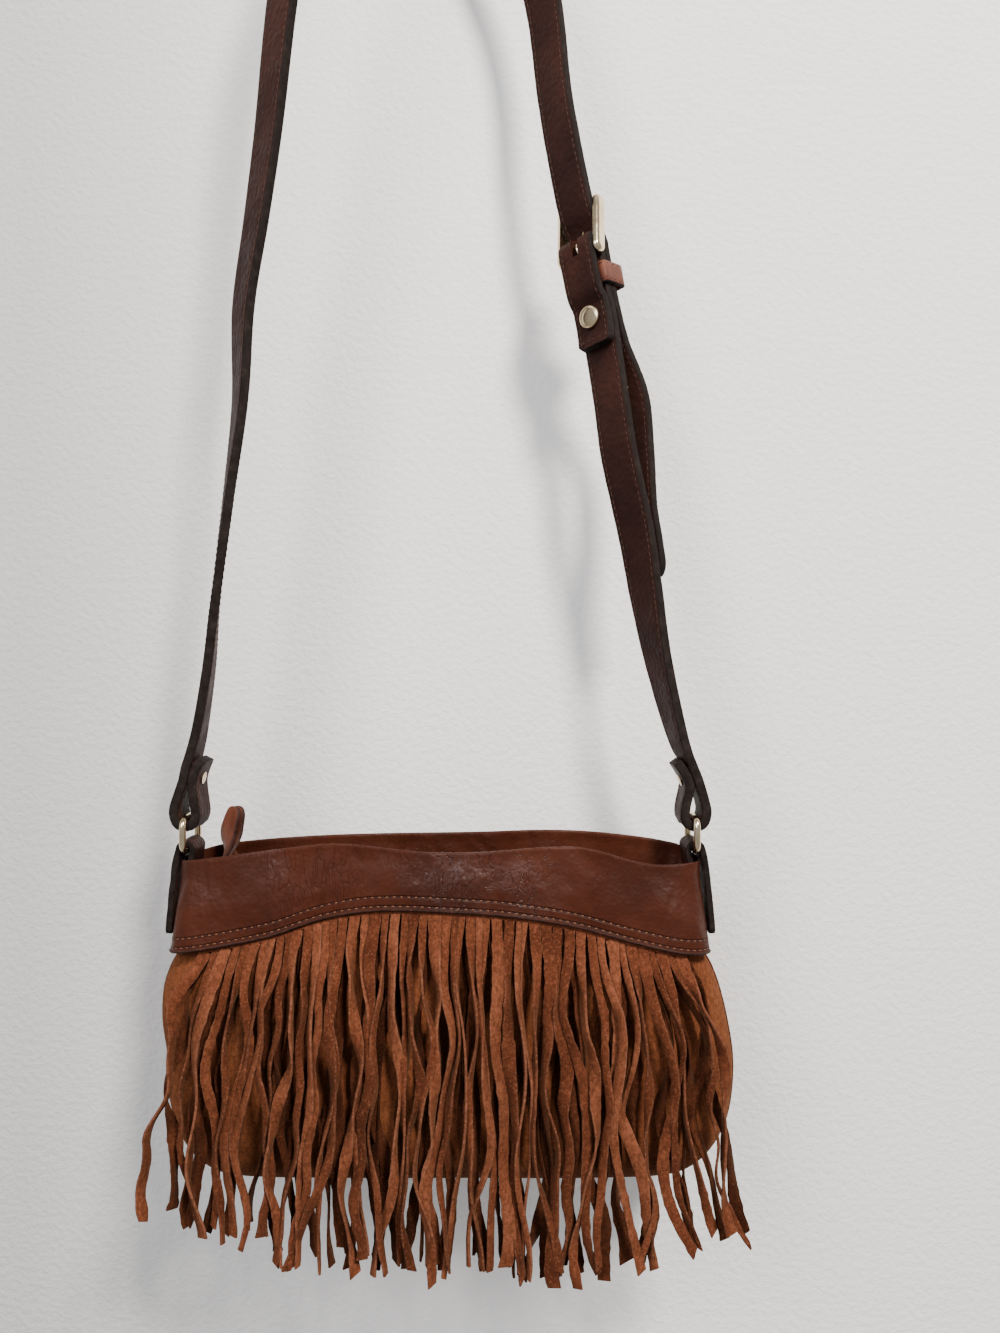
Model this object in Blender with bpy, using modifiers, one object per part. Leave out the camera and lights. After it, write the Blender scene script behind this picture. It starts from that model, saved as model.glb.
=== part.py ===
"""Fringed suede shoulder bag, hanging from its strap.

Metres, +Z up, the front faces -Y. The origin is the underside of the strap at its highest point, where it is hung.
"""

import math
import random

import bmesh
import bpy
from mathutils import Matrix, Vector

# Clearances
GAP = 0.0003
SEAM_GAP = 0.0005
RIVET_PLAY = 0.0002

# Strap
STRAP_WIDTH = 0.020
STRAP_THICK = 0.0045
STRAP_EDGE_ROUND = 0.0007
THIN_RIBBON = 0.0010
STRAP_DROP = 0.5505
HANG_RADIUS = 0.036
HANG_TURN = math.radians(50)
HANG_SPREAD = math.radians(69)
BAG_X = 0.018
STRAP_LOOP_RADIUS = 0.0030
LEFT_SLANT = 0.22
RIGHT_SLANT = 0.40
FOLD_OFFSET = 0.0006
PLY_GAP = 0.0005
RIVET_RISE = 0.0205
FOLD_END_RISE = 0.0300
FOLD_TIP_FLARE = 0.0012
RIVET_FLAT_ABOVE = 0.0040
RIVET_FLAT_BELOW = 0.0030
RING_REST = 0.00048
LOOP_NECK_RISE = 0.90
LOOP_NECK_INNER = 0.92
LOOP_NECK_OUTER = 0.98
STRAP_TIP_SHARE = 0.45

# Legs of the strap as it hangs, in shares of its drop: sideways from the ring (or from the hanging point on the
# right of the top), depth, height below the top, and the turn of its face in degrees
LEFT_LEG = ((0.0087, 0, 0.922, 4), (0.0183, -0.0036, 0.864, 9), (0.0243, -0.0054, 0.805, 15),
            (0.0372, -0.0091, 0.71, 19), (0.0483, -0.0127, 0.626, 26), (0.0527, -0.0182, 0.544, 36),
            (0.0654, -0.0236, 0.469, 41), (0.0777, -0.0291, 0.39, 45), (0.0912, -0.0363, 0.284, 50),
            (0.1108, -0.0436, 0.17, 52))
RIGHT_UPPER_LEG = ((0.1017, 0.0418, 0.155, 54), (0.1261, 0.0363, 0.235, 52), (0.1379, 0.0272, 0.337, 44))
RIGHT_LOWER_LEG = ((-0.0727, 0.0118, 0.617, 44), (-0.0652, 0.01, 0.671, 48), (-0.0503, 0.0082, 0.741, 46),
                   (-0.0418, 0.0064, 0.794, 37), (-0.0309, 0.0036, 0.858, 22), (-0.0131, 0, 0.93, 9))

# The same for the tail, from the buckle, in shares of its length
TAIL_LENGTH = 0.168
TAIL = ((0.100, 0.048, 0.28, 45), (0.160, 0.052, 0.44, 46), (0.175, 0.045, 0.607, 46),
        (0.18, 0.02, 0.774, 46), (0.197, 0.004, 0.893, 42), (0.213, -0.001, 1, 38))

# Adjustment holes
HOLE_RADIUS = 0.0017
HOLE_PITCH = 0.025
HOLE_COUNT = 4
FIRST_HOLE = 0.020

# Strap rivets and stud
RIVET_HEAD_RADIUS = 0.0034
RIVET_HEAD_HEIGHT = 0.0011
RIVET_POST_RADIUS = 0.0013
STUD_HEAD_RADIUS = 0.00575
STUD_HEAD_HEIGHT = 0.0017
STUD_POST_RADIUS = 0.0016
TAIL_HEIGHT = 0.0006
STUD_DROP = 0.0356

# Buckle
BUCKLE_FROM_RING = 0.0550
BUCKLE_DEPTH = 0.009
BUCKLE_HEIGHT_SHARE = 0.48047
BUCKLE_TURN = math.radians(48)
STRAP_LEAN = Vector((0.0166, -0.005, -0.092))
BUCKLE_TILT = math.radians(17)
BUCKLE_LENGTH = 0.0335
BUCKLE_SIDE_WIDTH = 0.0080
BUCKLE_SIDE_THICK = 0.0026
STADIUM_STEPS = 6
BUCKLE_BAR_RADIUS = 0.0016
BUCKLE_END_BAR_RADIUS = 0.0019
BUCKLE_FOOT = 0.0058
BUCKLE_SIDE_PLAY = 0.0007
PRONG_RADIUS = 0.0011
PRONG_PLAY = 0.0005
PRONG_SLOT = 0.0046
FOLD_TAB_LENGTH = 0.0505
PRONG_EYE_START = math.radians(-60)
PRONG_EYE_STEP = math.radians(24)
PRONG_REST_SHARE = 0.60
PRONG_HOLE_SHARE = 0.72
PRONG_SLOT_RISE = 0.0020
PRONG_SLOT_LENGTH = 0.0125
STUD_STACK_PLAY = 0.00102

# How the plies run past the buckle: out of its plane and up from its hinge bar
LONG_STRAP_THREAD = ((0.0019, 0.0141), (0.0074, 0.0064))
UNDER_END_BAR = (-0.0012, 0.0010)
OVER_BAR_HEIGHTS = (0.0005, -0.0050, -0.0120, -0.0240)
FOLD_PLY_FLARE = 0.0016
FOLD_PLY_FLATS = (0.0065, 0.0060)
FOLD_PLY_BEND = (0.0006, 0.0232, 0.0100)
SHORT_STRAP_HEIGHTS = (0.0120, 0.0260)
SHORT_STRAP_STRAIGHT = 0.0050

# Keeper loop
KEEPER_WALL = 0.0017
KEEPER_HEIGHT = 0.0112
KEEPER_DROP = 0.0148
KEEPER_ROUND = 0.0010
KEEPER_PLAY = 0.0004
KEEPER_LOOSE = 0.0038

# Rings
RING_BARS = 0.016
RING_WIRE_RADIUS = 0.0017
RING_INSIDE_WIDTH = 0.0216
RING_CORNER = 0.0048

# Side tabs, with their legs' bends
TAB_WIDTH = 0.018
TAB_THICK = 0.0030
TAB_OUTER_LENGTH = 0.041
TAB_INNER_LENGTH = 0.030
TAB_CORNER_PLAY = 0.0018
TAB_OUTER_BEND = 0.0003
TAB_INNER_BEND = 0.0016
TAB_BEND_DROP = 0.0080
TAB_INNER_BEND_DROP = 0.0090

# Suede body: it sags a little towards the right
SUEDE_THICK = 0.0013
BODY_LAP_DROP = 0.0140
BODY_BOTTOM_DROP = 0.1623
BODY_HALF_WIDTH = 0.1405
BODY_HALF_DEPTH = 0.0262
BODY_SAG = 0.0045
PANEL_DEPTH_SHARE = 0.18
PANEL_BLUNT = 4.0
PANEL_COLUMNS = 22
PANEL_ROWS = 11
PANEL_ROW_SPREAD = 1.45
LINING_THICK = 0.0006
LINING_PLAY = 0.0006
LINING_ROWS = 6
LINING_COLUMNS = 14

# Share of the body's height from the yoke's level down, half width, half depth, bluntness of its outline, sag
BODY_FORM = ((0.00, 0.912, 0.630, 10.0, 0), (0.17, 0.916, 0.690, 9.0, 0), (0.235, 0.921, 0.740, 8.0, 0),
             (0.30, 0.956, 0.800, 6.5, 0), (0.37, 0.982, 0.860, 5.5, 0.05), (0.48, 0.999, 0.930, 4.5, 0.40),
             (0.61, 1.000, 0.985, 3.7, 1), (0.74, 0.994, 1.000, 3.6, 1), (0.84, 0.967, 0.950, 3.8, 1),
             (0.92, 0.912, 0.790, 4.5, 1), (0.970, 0.845, 0.540, 5.5, 1), (0.993, 0.783, 0.260, 7.0, 1),
             (1.00, 0.757, 0.03, 8.0, 1))

# Yoke
BACK_RIM_RISE = 0.0043
YOKE_EDGE_DROP = 0.0255
YOKE_SWEEP = 0.0228
YOKE_THICK = 0.0016
RIM_HALF_WIDTH = BODY_HALF_WIDTH - 0.0122
YOKE_EDGE_HALF_WIDTH = BODY_HALF_WIDTH - 0.0077
RIM_HALF_DEPTH = 0.0180
MOUTH_BLUNT = 14
YOKE_DEPTH_SHARE = 0.16
YOKE_COLUMNS = 28
YOKE_LAP = 0.009
YOKE_ROWS = 5
YOKE_STEEP = 1.25
YOKE_SEAT_SHARE = 0.35
RING_INSET = 0.0028

# Rise of the rims and of the yoke's lower edge along the width, from -1 at the left seam to 1 at the right, in
# shares of the yoke's sweep
FRONT_RIM = ((-1, -0.241), (-0.54, 0.105), (-0.37, 0.175), (-0.06, 0), (0.15, 0), (0.41, 0.105),
             (0.55, 0.083), (0.80, -0.263), (1, -0.241))
BACK_RIM = ((-1, -0.430), (-0.86, -0.250), (-0.45, -0.070), (0.15, 0), (0.43, 0.044), (0.66, -0.026),
            (0.93, -0.241), (1, -0.430))
YOKE_EDGE = ((-1, -0.987), (-0.62, -0.566), (-0.42, -0.190), (-0.22, -0.020), (0.10, -0.075), (0.28, -0.162),
             (0.49, -0.355), (0.70, -0.680), (0.87, -0.908), (1, -1))

# Fringe
STRAND_THICK = 0.0012
FRINGE_CUT_DROP = 0.0030
FRINGE_HEAD = 0.0080
FRINGE_HALF_SPAN = BODY_HALF_WIDTH - 0.0240
FRINGE_SHIFT = 0.0020
FRINGE_SPREAD = 0.0125
FRINGE_LEAN_CURVE = 1.1
FRINGE_FAN = 0.0125
FRINGE_FAN_FROM = 0.66
FRINGE_FAN_RISE = 3.0
FRINGE_FAN_FALL = 0.4
STRAND_LEAN = 0.0026
STRAND_WAVE = (0.0004, 0.0016)
STRAND_TURNS = (0.7, 1.7)
STRAND_TWIST = 32
STRAND_TIP_SHARE = 0.72
STRAND_CLEAR = 0.0026
FRONT_SEED = 11
FRONT_RISE = 5.5
UNDER_SEED = 5
UNDER_RISE = 3.2
TIP_SCATTER = (-0.004, 0.007)
STRAND_LEVEL = 0.0032
FRONT_STRANDS = 50
FRONT_STRAND_WIDTH = 0.0040
FRONT_STRAND_STEPS = 6
UNDER_STRANDS = 38
UNDER_STRAND_WIDTH = 0.0046
UNDER_STRAND_STEPS = 4
FRINGE_TIPS_DROP = 0.1900
FRINGE_TIPS_SWEEP = 0.0200

# Rise of the strands' tips along the fringe, in shares of their sweep
FRINGE_TIPS = ((-1, 1), (-0.83, 0.70), (-0.45, 0.15), (0, -0.075), (0.50, -0.275), (0.65, -0.20),
               (0.84, 0.20), (1, 0.65))

# Zip
ZIP_DROP = 0.0305
ZIP_TAPE_THICK = 0.0008
ZIP_TAPE_WIDTH = 0.0112
ZIP_TEETH_HALF = 0.0010
ZIP_FACING_THICK = 0.0010
ZIP_HALF_LENGTH = RIM_HALF_WIDTH - 0.0243
ZIP_OPEN_FROM = -0.012
ZIP_OPENED_LENGTH = 0.060
ZIP_TAIL_RISE = 0.0250
ZIP_LEAN = math.radians(75)
FACING_SHARE = 0.90
END_TAB_LAP = 0.0100
END_TAB_BESIDE = 0.0020
SLIDER_LENGTH = 0.0110
SLIDER_WIDTH = 0.0085
SLIDER_PLATE = 0.0012
SLIDER_THROAT = 0.0030
SLIDER_POST = 0.0013
BRIDGE_LENGTH = 0.0068
BRIDGE_HEIGHT = 0.0034
BRIDGE_THICK = 0.0014
BRIDGE_WINDOW = 0.0036
PULLER_EYE = 0.0044
PULLER_LENGTH = 0.026
PULLER_WIDTH = 0.0070
PULLER_THICK = 0.0012
END_TAB_WIDTH = 0.024
END_TAB_TIP_WIDTH = 0.009
END_TAB_THICK = 0.0044
END_TAB_LENGTH = 0.036

# The end tab stands up and turns its broad face to the front: height and sideways shift in shares of its length,
# turn in degrees
END_TAB_ROUTE = ((0, 0, 0), (0.31, 0, 4), (0.48, 0.004, 26), (0.68, 0.035, 42), (1, 0.115, 48))

# Colours: linear red, green, blue
YOKE_LEATHER = (0.155, 0.050, 0.028)
STRAP_LEATHER = (0.050, 0.020, 0.014)
KEEPER_LEATHER = (0.170, 0.055, 0.030)
SUEDE = (0.230, 0.075, 0.022)
GOLD = (0.720, 0.540, 0.330)
CLOTH = (0.060, 0.045, 0.038)

RING_X = RIM_HALF_WIDTH - RING_INSET
TOP_BAR_Z = -STRAP_DROP
LOW_BAR_Z = TOP_BAR_Z - RING_BARS
LEFT_TOP_BAR = Vector((BAG_X - RING_X, 0, TOP_BAR_Z))
RIGHT_TOP_BAR = Vector((BAG_X + RING_X, 0, TOP_BAR_Z))
BUCKLE_AT = RIGHT_TOP_BAR + Vector((-BUCKLE_FROM_RING, BUCKLE_DEPTH, STRAP_DROP * (1 - BUCKLE_HEIGHT_SHARE)))
RIM_Z = LOW_BAR_Z
YOKE_EDGE_Z = RIM_Z - YOKE_EDGE_DROP
BODY_TOP_Z = RIM_Z - BODY_LAP_DROP
BODY_BOTTOM_Z = RIM_Z - BODY_BOTTOM_DROP
FRINGE_STACK = 2 * (STRAND_THICK + GAP)
ZIP_Z = RIM_Z - ZIP_DROP


def clear_scene():
    for obj in list(bpy.data.objects):
        bpy.data.objects.remove(obj, do_unlink=True)


def collection(name):
    made = bpy.data.collections.new(name)
    bpy.context.scene.collection.children.link(made)
    return made


def material(name, colour, roughness, metallic=0.0):
    made = bpy.data.materials.new(name)
    made.use_nodes = True
    shader = made.node_tree.nodes["Principled BSDF"]
    shader.inputs["Base Color"].default_value = (*colour, 1)
    shader.inputs["Roughness"].default_value = roughness
    shader.inputs["Metallic"].default_value = metallic
    made.diffuse_color = (*colour, 1)
    return made


def add_object(name, bm, colour, roughness, metallic=0.0):
    """A part from a bmesh in world coordinates."""
    mesh = bpy.data.meshes.new(name)
    bm.to_mesh(mesh)
    bm.free()
    mesh.materials.append(material(name, colour, roughness, metallic))
    mesh.shade_smooth()
    mesh.set_sharp_from_angle(angle=math.radians(40))
    obj = bpy.data.objects.new(name, mesh)
    PARTS.objects.link(obj)
    return obj


def add_cutter(name, bm):
    mesh = bpy.data.meshes.new(name)
    bm.to_mesh(mesh)
    bm.free()
    obj = bpy.data.objects.new(name, mesh)
    obj.hide_render = True
    obj.display_type = "WIRE"
    CUTTERS.objects.link(obj)
    return obj


def set_origin(obj, point, parent=None):
    """Moves the object's origin to a world point, without moving its shape."""
    obj.data.transform(Matrix.Translation(-point))
    obj.parent = parent
    obj.location = point - (parent.matrix_world.translation if parent else Vector())
    bpy.context.view_layer.update()
    return obj


def add_empty(name, point, parent=None):
    obj = bpy.data.objects.new(name, None)
    obj.empty_display_size = 0.01
    PARTS.objects.link(obj)
    obj.parent = parent
    obj.location = point - (parent.matrix_world.translation if parent else Vector())
    bpy.context.view_layer.update()
    return obj


def solidify(obj, thickness, offset=0.0):
    shell = obj.modifiers.new("thickness", "SOLIDIFY")
    shell.thickness = thickness
    shell.offset = offset


def bevel(obj, width, segments=1, angle=50):
    edge = obj.modifiers.new("edges", "BEVEL")
    edge.width = width
    edge.segments = segments
    edge.limit_method = "ANGLE"
    edge.angle_limit = math.radians(angle)


def boolean(obj, other, operation="DIFFERENCE"):
    cut = obj.modifiers.new(other.name, "BOOLEAN")
    cut.operation = operation
    cut.object = other


def catmull(a, b, c, d, t):
    """A point between b and c on the smooth curve through the four values."""
    return 0.5 * ((2 * b) + (c - a) * t + (2 * a - 5 * b + 4 * c - d) * t * t
                  + (3 * b - a - 3 * c + d) * t * t * t)


def smooth_path(stations, steps):
    """Stations are (point, outward direction). Each span gets this many steps."""
    path = []
    last = len(stations) - 1
    for i in range(last):
        around = [stations[max(0, min(last, i + k))] for k in (-1, 0, 1, 2)]
        for step in range(steps):
            t = step / steps
            point = catmull(*(a[0] for a in around), t)
            path.append((point, around[1][1].lerp(around[2][1], t).normalized()))
    path.append(stations[-1])
    return path


def smooth_value(table, x):
    """The value at x on a smooth line through the table's (x, value) pairs."""
    last = len(table) - 1
    i = 0
    while i < last - 1 and x > table[i + 1][0]:
        i += 1
    span = table[i + 1][0] - table[i][0]
    t = min(1.0, max(0.0, (x - table[i][0]) / span))
    values = []
    for k in (i, i + 1):
        low, high = table[max(0, k - 1)], table[min(last, k + 1)]
        values.append((high[1] - low[1]) / (high[0] - low[0]) * span)
    start, end = table[i][1], table[i + 1][1]
    return (start * (2 * t**3 - 3 * t**2 + 1) + end * (3 * t**2 - 2 * t**3)
            + values[0] * (t**3 - 2 * t**2 + t) + values[1] * (t**3 - t**2))


def smooth_row(table, x):
    """The same for a table whose rows hold several values."""
    return [smooth_value([(row[0], row[k]) for row in table], x) for k in range(1, len(table[0]))]


def lengths(path):
    total = [0.0]
    for (a, _), (b, _) in zip(path, path[1:]):
        total.append(total[-1] + (b - a).length)
    return total


def frame_at(path, i):
    """Point, tangent, outward normal and side direction of a path station."""
    before, after = path[max(0, i - 1)][0], path[min(len(path) - 1, i + 1)][0]
    tangent = (after - before).normalized()
    normal = path[i][1] - tangent * path[i][1].dot(tangent)
    normal.normalize()
    return path[i][0], tangent, normal, tangent.cross(normal)


def station_along(path, distance):
    """The station frame at a distance along the path."""
    total = lengths(path)
    for i in range(1, len(path)):
        if total[i] >= distance:
            t = (distance - total[i - 1]) / (total[i] - total[i - 1])
            point = path[i - 1][0].lerp(path[i][0], t)
            _, tangent, normal, side = frame_at(path, i)
            return point, tangent, normal, side
    return frame_at(path, len(path) - 1)


def ribbon(name, path, width, thickness, colour, roughness, round_start=0.0, round_end=0.0, tip_width=None):
    """A flat strap along a path: an open strip with thickness and softened edges."""
    total = lengths(path)
    bm = bmesh.new()
    rows = []
    for i in range(len(path)):
        point, _, _, side = frame_at(path, i)
        half = width / 2
        if tip_width:
            half = (width + (tip_width - width) * total[i] / total[-1]) / 2
        for radius, distance in ((round_start, total[i]), (round_end, total[-1] - total[i])):
            if radius and distance < radius:
                half *= 0.35 + 0.65 * math.sqrt(1 - (1 - distance / radius) ** 2)
        rows.append([bm.verts.new(point - side * half), bm.verts.new(point + side * half)])
    for a, b in zip(rows, rows[1:]):
        bm.faces.new((a[0], a[1], b[1], b[0]))
    obj = add_object(name, bm, colour, roughness)
    solidify(obj, thickness)
    if thickness > THIN_RIBBON:
        bevel(obj, min(STRAP_EDGE_ROUND, thickness / 4), angle=60)
    return obj


def turn_direction(turn, side):
    """Horizontal direction out of the strap's outer face; side is -1 on the left leg and 1 on the right."""
    return Vector((side * math.cos(turn), side * math.sin(turn), 0))


def refine_end(path, distance, steps):
    """More stations over the last stretch, for a rounded end."""
    total = lengths(path)
    start = total[-1] - distance
    kept = [station for station, length in zip(path, total) if length < start]
    for i in range(steps + 1):
        point, _, normal, _ = station_along(path, start + distance * (1 - math.cos(math.pi / 2 * i / steps)) ** 0.9)
        kept.append((point, normal))
    kept[-1] = path[-1]
    return kept


def fold_axes(side, slant):
    """Directions along and across the plies above a ring: up along them, and out of the outer one."""
    up = Vector((-side * slant, 0, 1)).normalized()
    return up, Vector((side, 0, slant)).normalized()


def rivet_point(top_bar, side):
    """Middle of the outer ply at the rivet."""
    return top_bar + Vector((side * FOLD_OFFSET, 0, RIVET_RISE))


def ring_fold(top_bar, side, slant):
    """Stations of a strap end, from the free tip of its fold round the ring's bar to above the rivet.

    They are the same on both sides, mirrored; the folded end lies on the bag's side.
    """
    loop = STRAP_LOOP_RADIUS + STRAP_THICK / 2
    centre_rise = STRAP_LOOP_RADIUS - RING_WIRE_RADIUS - RING_REST
    out = Vector((side, 0, 0))
    up = Vector((0, 0, 1))
    along, across = fold_axes(side, slant)
    ply = across * (STRAP_THICK + PLY_GAP)
    rivet = rivet_point(top_bar, side)
    centre = top_bar + up * centre_rise
    stations = [
        (rivet + along * (FOLD_END_RISE - RIVET_RISE) - ply - across * FOLD_TIP_FLARE, -across),
        (rivet + along * RIVET_FLAT_ABOVE - ply, -across),
        (rivet - along * RIVET_FLAT_BELOW - ply, -across),
        (centre - out * (loop * LOOP_NECK_INNER) + up * (loop * LOOP_NECK_RISE), -out),
    ]
    for degrees in (0, 45, 90, 135, 180):
        angle = math.radians(degrees)
        direction = -out * math.cos(angle) - up * math.sin(angle)
        stations.append((centre + direction * loop, direction))
    stations += [
        (centre + out * (loop * LOOP_NECK_OUTER) + up * (loop * LOOP_NECK_RISE), out),
        (rivet - along * RIVET_FLAT_BELOW, across),
        (rivet + along * RIVET_FLAT_ABOVE, across),
    ]
    return stations


def leg_stations(table, start, scale, side):
    """Stations from a table of shares of the scale, counted from a starting point."""
    return [
        (start + Vector((x, y, -drop)) * scale, turn_direction(math.radians(turn), side))
        for x, y, drop, turn in table
    ]


def left_leg():
    """Stations from above the left rivet up to the arc at the top: offset from the ring, depth, turn."""
    return leg_stations(LEFT_LEG, Vector((BAG_X - RING_X, 0, 0)), STRAP_DROP, -1)


def hang_arc():
    """Stations over whatever holds the strap up, the origin under the middle one."""
    plane = Vector((math.cos(HANG_TURN), math.sin(HANG_TURN), 0))
    radius = HANG_RADIUS + STRAP_THICK / 2
    stations = []
    for i in range(-3, 4):
        angle = HANG_SPREAD * i / 3
        direction = plane * math.sin(angle) + Vector((0, 0, math.cos(angle)))
        stations.append((Vector((0, 0, -HANG_RADIUS)) + direction * radius, direction))
    return stations


def right_upper_leg():
    return leg_stations(RIGHT_UPPER_LEG, Vector(), STRAP_DROP, 1)


def plies_matrix():
    """Axes of the plies at the hinge bar: X across the strap, Y out of its outer face, Z up along it."""
    up = -STRAP_LEAN.normalized()
    out = turn_direction(BUCKLE_TURN, 1)
    out = (out - up * out.dot(up)).normalized()
    across = out.cross(up)
    matrix = Matrix((across, out, up)).transposed().to_4x4()
    matrix.translation = BUCKLE_AT
    return matrix


def on_buckle(across, out, up):
    """A point in the frame's own axes, which tilt out of the plies about the hinge bar."""
    return BUCKLE @ Vector((across, out, up))


def on_plies(across, out, up):
    return PLIES @ Vector((across, out, up))


def buckle_layers():
    """How far out of the buckle's plane the plies lie: short strap round its bar, long strap over it, and under the
    end bar."""
    short = BUCKLE_BAR_RADIUS + GAP + STRAP_THICK / 2
    over = short + STRAP_THICK + GAP
    under = -(BUCKLE_END_BAR_RADIUS + GAP + STRAP_THICK / 2)
    return short, over, under


def long_strap_path():
    """From the left ring over the top, through the buckle and down to the tip of the tail."""
    _, over, under = buckle_layers()
    tilted = BUCKLE.to_3x3() @ Vector((0, 1, 0))
    out = PLIES.to_3x3() @ Vector((0, 1, 0))
    end_bar = BUCKLE_LENGTH - BUCKLE_FOOT - BUCKLE_END_BAR_RADIUS
    clear, rise = UNDER_END_BAR
    threading = [(on_buckle(0, under + clear, end_bar + rise), tilted)]
    threading += [(on_buckle(0, level, height), tilted) for level, height in LONG_STRAP_THREAD]
    threading += [(on_plies(0, over, height), out) for height in OVER_BAR_HEIGHTS]
    tail = leg_stations(TAIL, BUCKLE_AT, TAIL_LENGTH, 1)
    stations = ring_fold(LEFT_TOP_BAR, -1, LEFT_SLANT) + left_leg() + hang_arc() + right_upper_leg() + threading + tail
    return refine_end(smooth_path(stations, 2), STRAP_WIDTH * STRAP_TIP_SHARE, 4)


def short_strap_path():
    """From the stitched end of its fold at the buckle, round the bar and down to the right ring."""
    short, _, _ = buckle_layers()
    out = PLIES.to_3x3() @ Vector((0, 1, 0))
    up = PLIES.to_3x3() @ Vector((0, 0, 1))
    close = short - STRAP_THICK - GAP
    bend_in, bend_low, bend_high = FOLD_PLY_BEND
    stations = [
        (on_plies(0, close - FOLD_PLY_FLARE, -FOLD_TAB_LENGTH), -out),
        (on_plies(0, close, -STUD_DROP - FOLD_PLY_FLATS[0]), -out),
        (on_plies(0, close, -STUD_DROP + FOLD_PLY_FLATS[1]), -out),
        (on_plies(0, -short + bend_in, -bend_low), -out),
        (on_plies(0, -short, -bend_high), -out),
    ]
    for degrees in (0, 45, 90, 135, 180):
        angle = math.radians(degrees)
        direction = -out * math.cos(angle) + up * math.sin(angle)
        stations.append((BUCKLE_AT + direction * short, direction))
    stations += [(on_plies(0, short, -height), out) for height in SHORT_STRAP_HEIGHTS]
    stations.append((on_plies(0, short, -STUD_DROP - SHORT_STRAP_STRAIGHT), out))
    leg = leg_stations(RIGHT_LOWER_LEG, Vector((BAG_X + RING_X, 0, 0)), STRAP_DROP, 1)
    fold = list(reversed(ring_fold(RIGHT_TOP_BAR, 1, RIGHT_SLANT)))
    return smooth_path(stations + leg + fold, 2)


def cylinder(matrix, radius, depth, sides=12):
    bm = bmesh.new()
    bmesh.ops.create_cone(bm, cap_ends=True, segments=sides, radius1=radius, radius2=radius, depth=depth)
    bm.transform(matrix)
    return bm


def box(matrix, size):
    bm = bmesh.new()
    bmesh.ops.create_cube(bm, size=1)
    bm.transform(matrix @ Matrix.Diagonal((*size, 1)))
    return bm


def axis_matrix(point, direction):
    """A frame at the point whose Z runs along the direction."""
    matrix = direction.to_track_quat("Z", "Y").to_matrix().to_4x4()
    matrix.translation = point
    return matrix


def hole(name, obj, point, direction, radius, depth):
    cutter = add_cutter(name, cylinder(axis_matrix(point, direction), radius, depth, 10))
    boolean(obj, cutter)


def spool(name, matrix, head_radius, head_height, post_radius, length, tail_radius):
    """A set rivet or stud: domed head, post and flared tail, turned about Z. The head's underside is at Z = 0."""
    profile = [
        (0.0, head_height), (head_radius * 0.55, head_height * 0.88), (head_radius * 0.88, head_height * 0.50),
        (head_radius, 0.0), (post_radius, 0.0), (post_radius, -length), (tail_radius, -length),
        (tail_radius * 0.85, -length - TAIL_HEIGHT), (0.0, -length - TAIL_HEIGHT * 1.1),
    ]
    bm = bmesh.new()
    points = [bm.verts.new((x, 0, z)) for x, z in profile]
    for a, b in zip(points, points[1:]):
        bm.edges.new((a, b))
    obj = add_object(name, bm, GOLD, 0.25, 1.0)
    turned = obj.modifiers.new("turn", "SCREW")
    turned.steps = 16
    turned.render_steps = 16
    turned.use_merge_vertices = True
    turned.merge_threshold = 0.00001
    obj.matrix_world = matrix
    return obj


def make_straps():
    long_path = long_strap_path()
    short_path = short_strap_path()
    long_strap = ribbon("strap_long", long_path, STRAP_WIDTH, STRAP_THICK, STRAP_LEATHER, 0.55,
                        round_end=STRAP_WIDTH * STRAP_TIP_SHARE)
    short_strap = ribbon("strap_short", short_path, STRAP_WIDTH, STRAP_THICK, STRAP_LEATHER, 0.55)
    return long_strap, short_strap, long_path


def make_strap_rivets(long_strap, short_strap):
    """Each goes through both plies above the ring; its head is on the outer face."""
    for name, strap, bar, side, slant in (("strap_rivet_left", long_strap, LEFT_TOP_BAR, -1, LEFT_SLANT),
                                          ("strap_rivet_right", short_strap, RIGHT_TOP_BAR, 1, RIGHT_SLANT)):
        _, across = fold_axes(side, slant)
        middle = rivet_point(bar, side) - across * ((STRAP_THICK + PLY_GAP) / 2)
        stack = 2 * STRAP_THICK + PLY_GAP + 2 * GAP
        spool(name, axis_matrix(middle + across * (stack / 2), across), RIVET_HEAD_RADIUS, RIVET_HEAD_HEIGHT,
              RIVET_POST_RADIUS, stack, RIVET_HEAD_RADIUS * 0.9)
        hole(name + "_hole", strap, middle, across, RIVET_POST_RADIUS + RIVET_PLAY, stack * 1.4)


def make_stud(short_strap):
    """Holds the folded end of the short strap; its head faces inwards, towards the front."""
    short, _, _ = buckle_layers()
    out = PLIES.to_3x3() @ Vector((0, 1, 0))
    stack = 2 * STRAP_THICK + STUD_STACK_PLAY
    middle = on_plies(0, short - (STRAP_THICK + GAP) / 2, -STUD_DROP)
    head = middle - out * (stack / 2)
    stud = spool("buckle_stud", axis_matrix(head, -out), STUD_HEAD_RADIUS, STUD_HEAD_HEIGHT, STUD_POST_RADIUS, stack,
                 STUD_POST_RADIUS * 2)
    hole("stud_hole", short_strap, middle, out, STUD_POST_RADIUS + RIVET_PLAY, stack * 1.5)
    return stud


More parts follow.
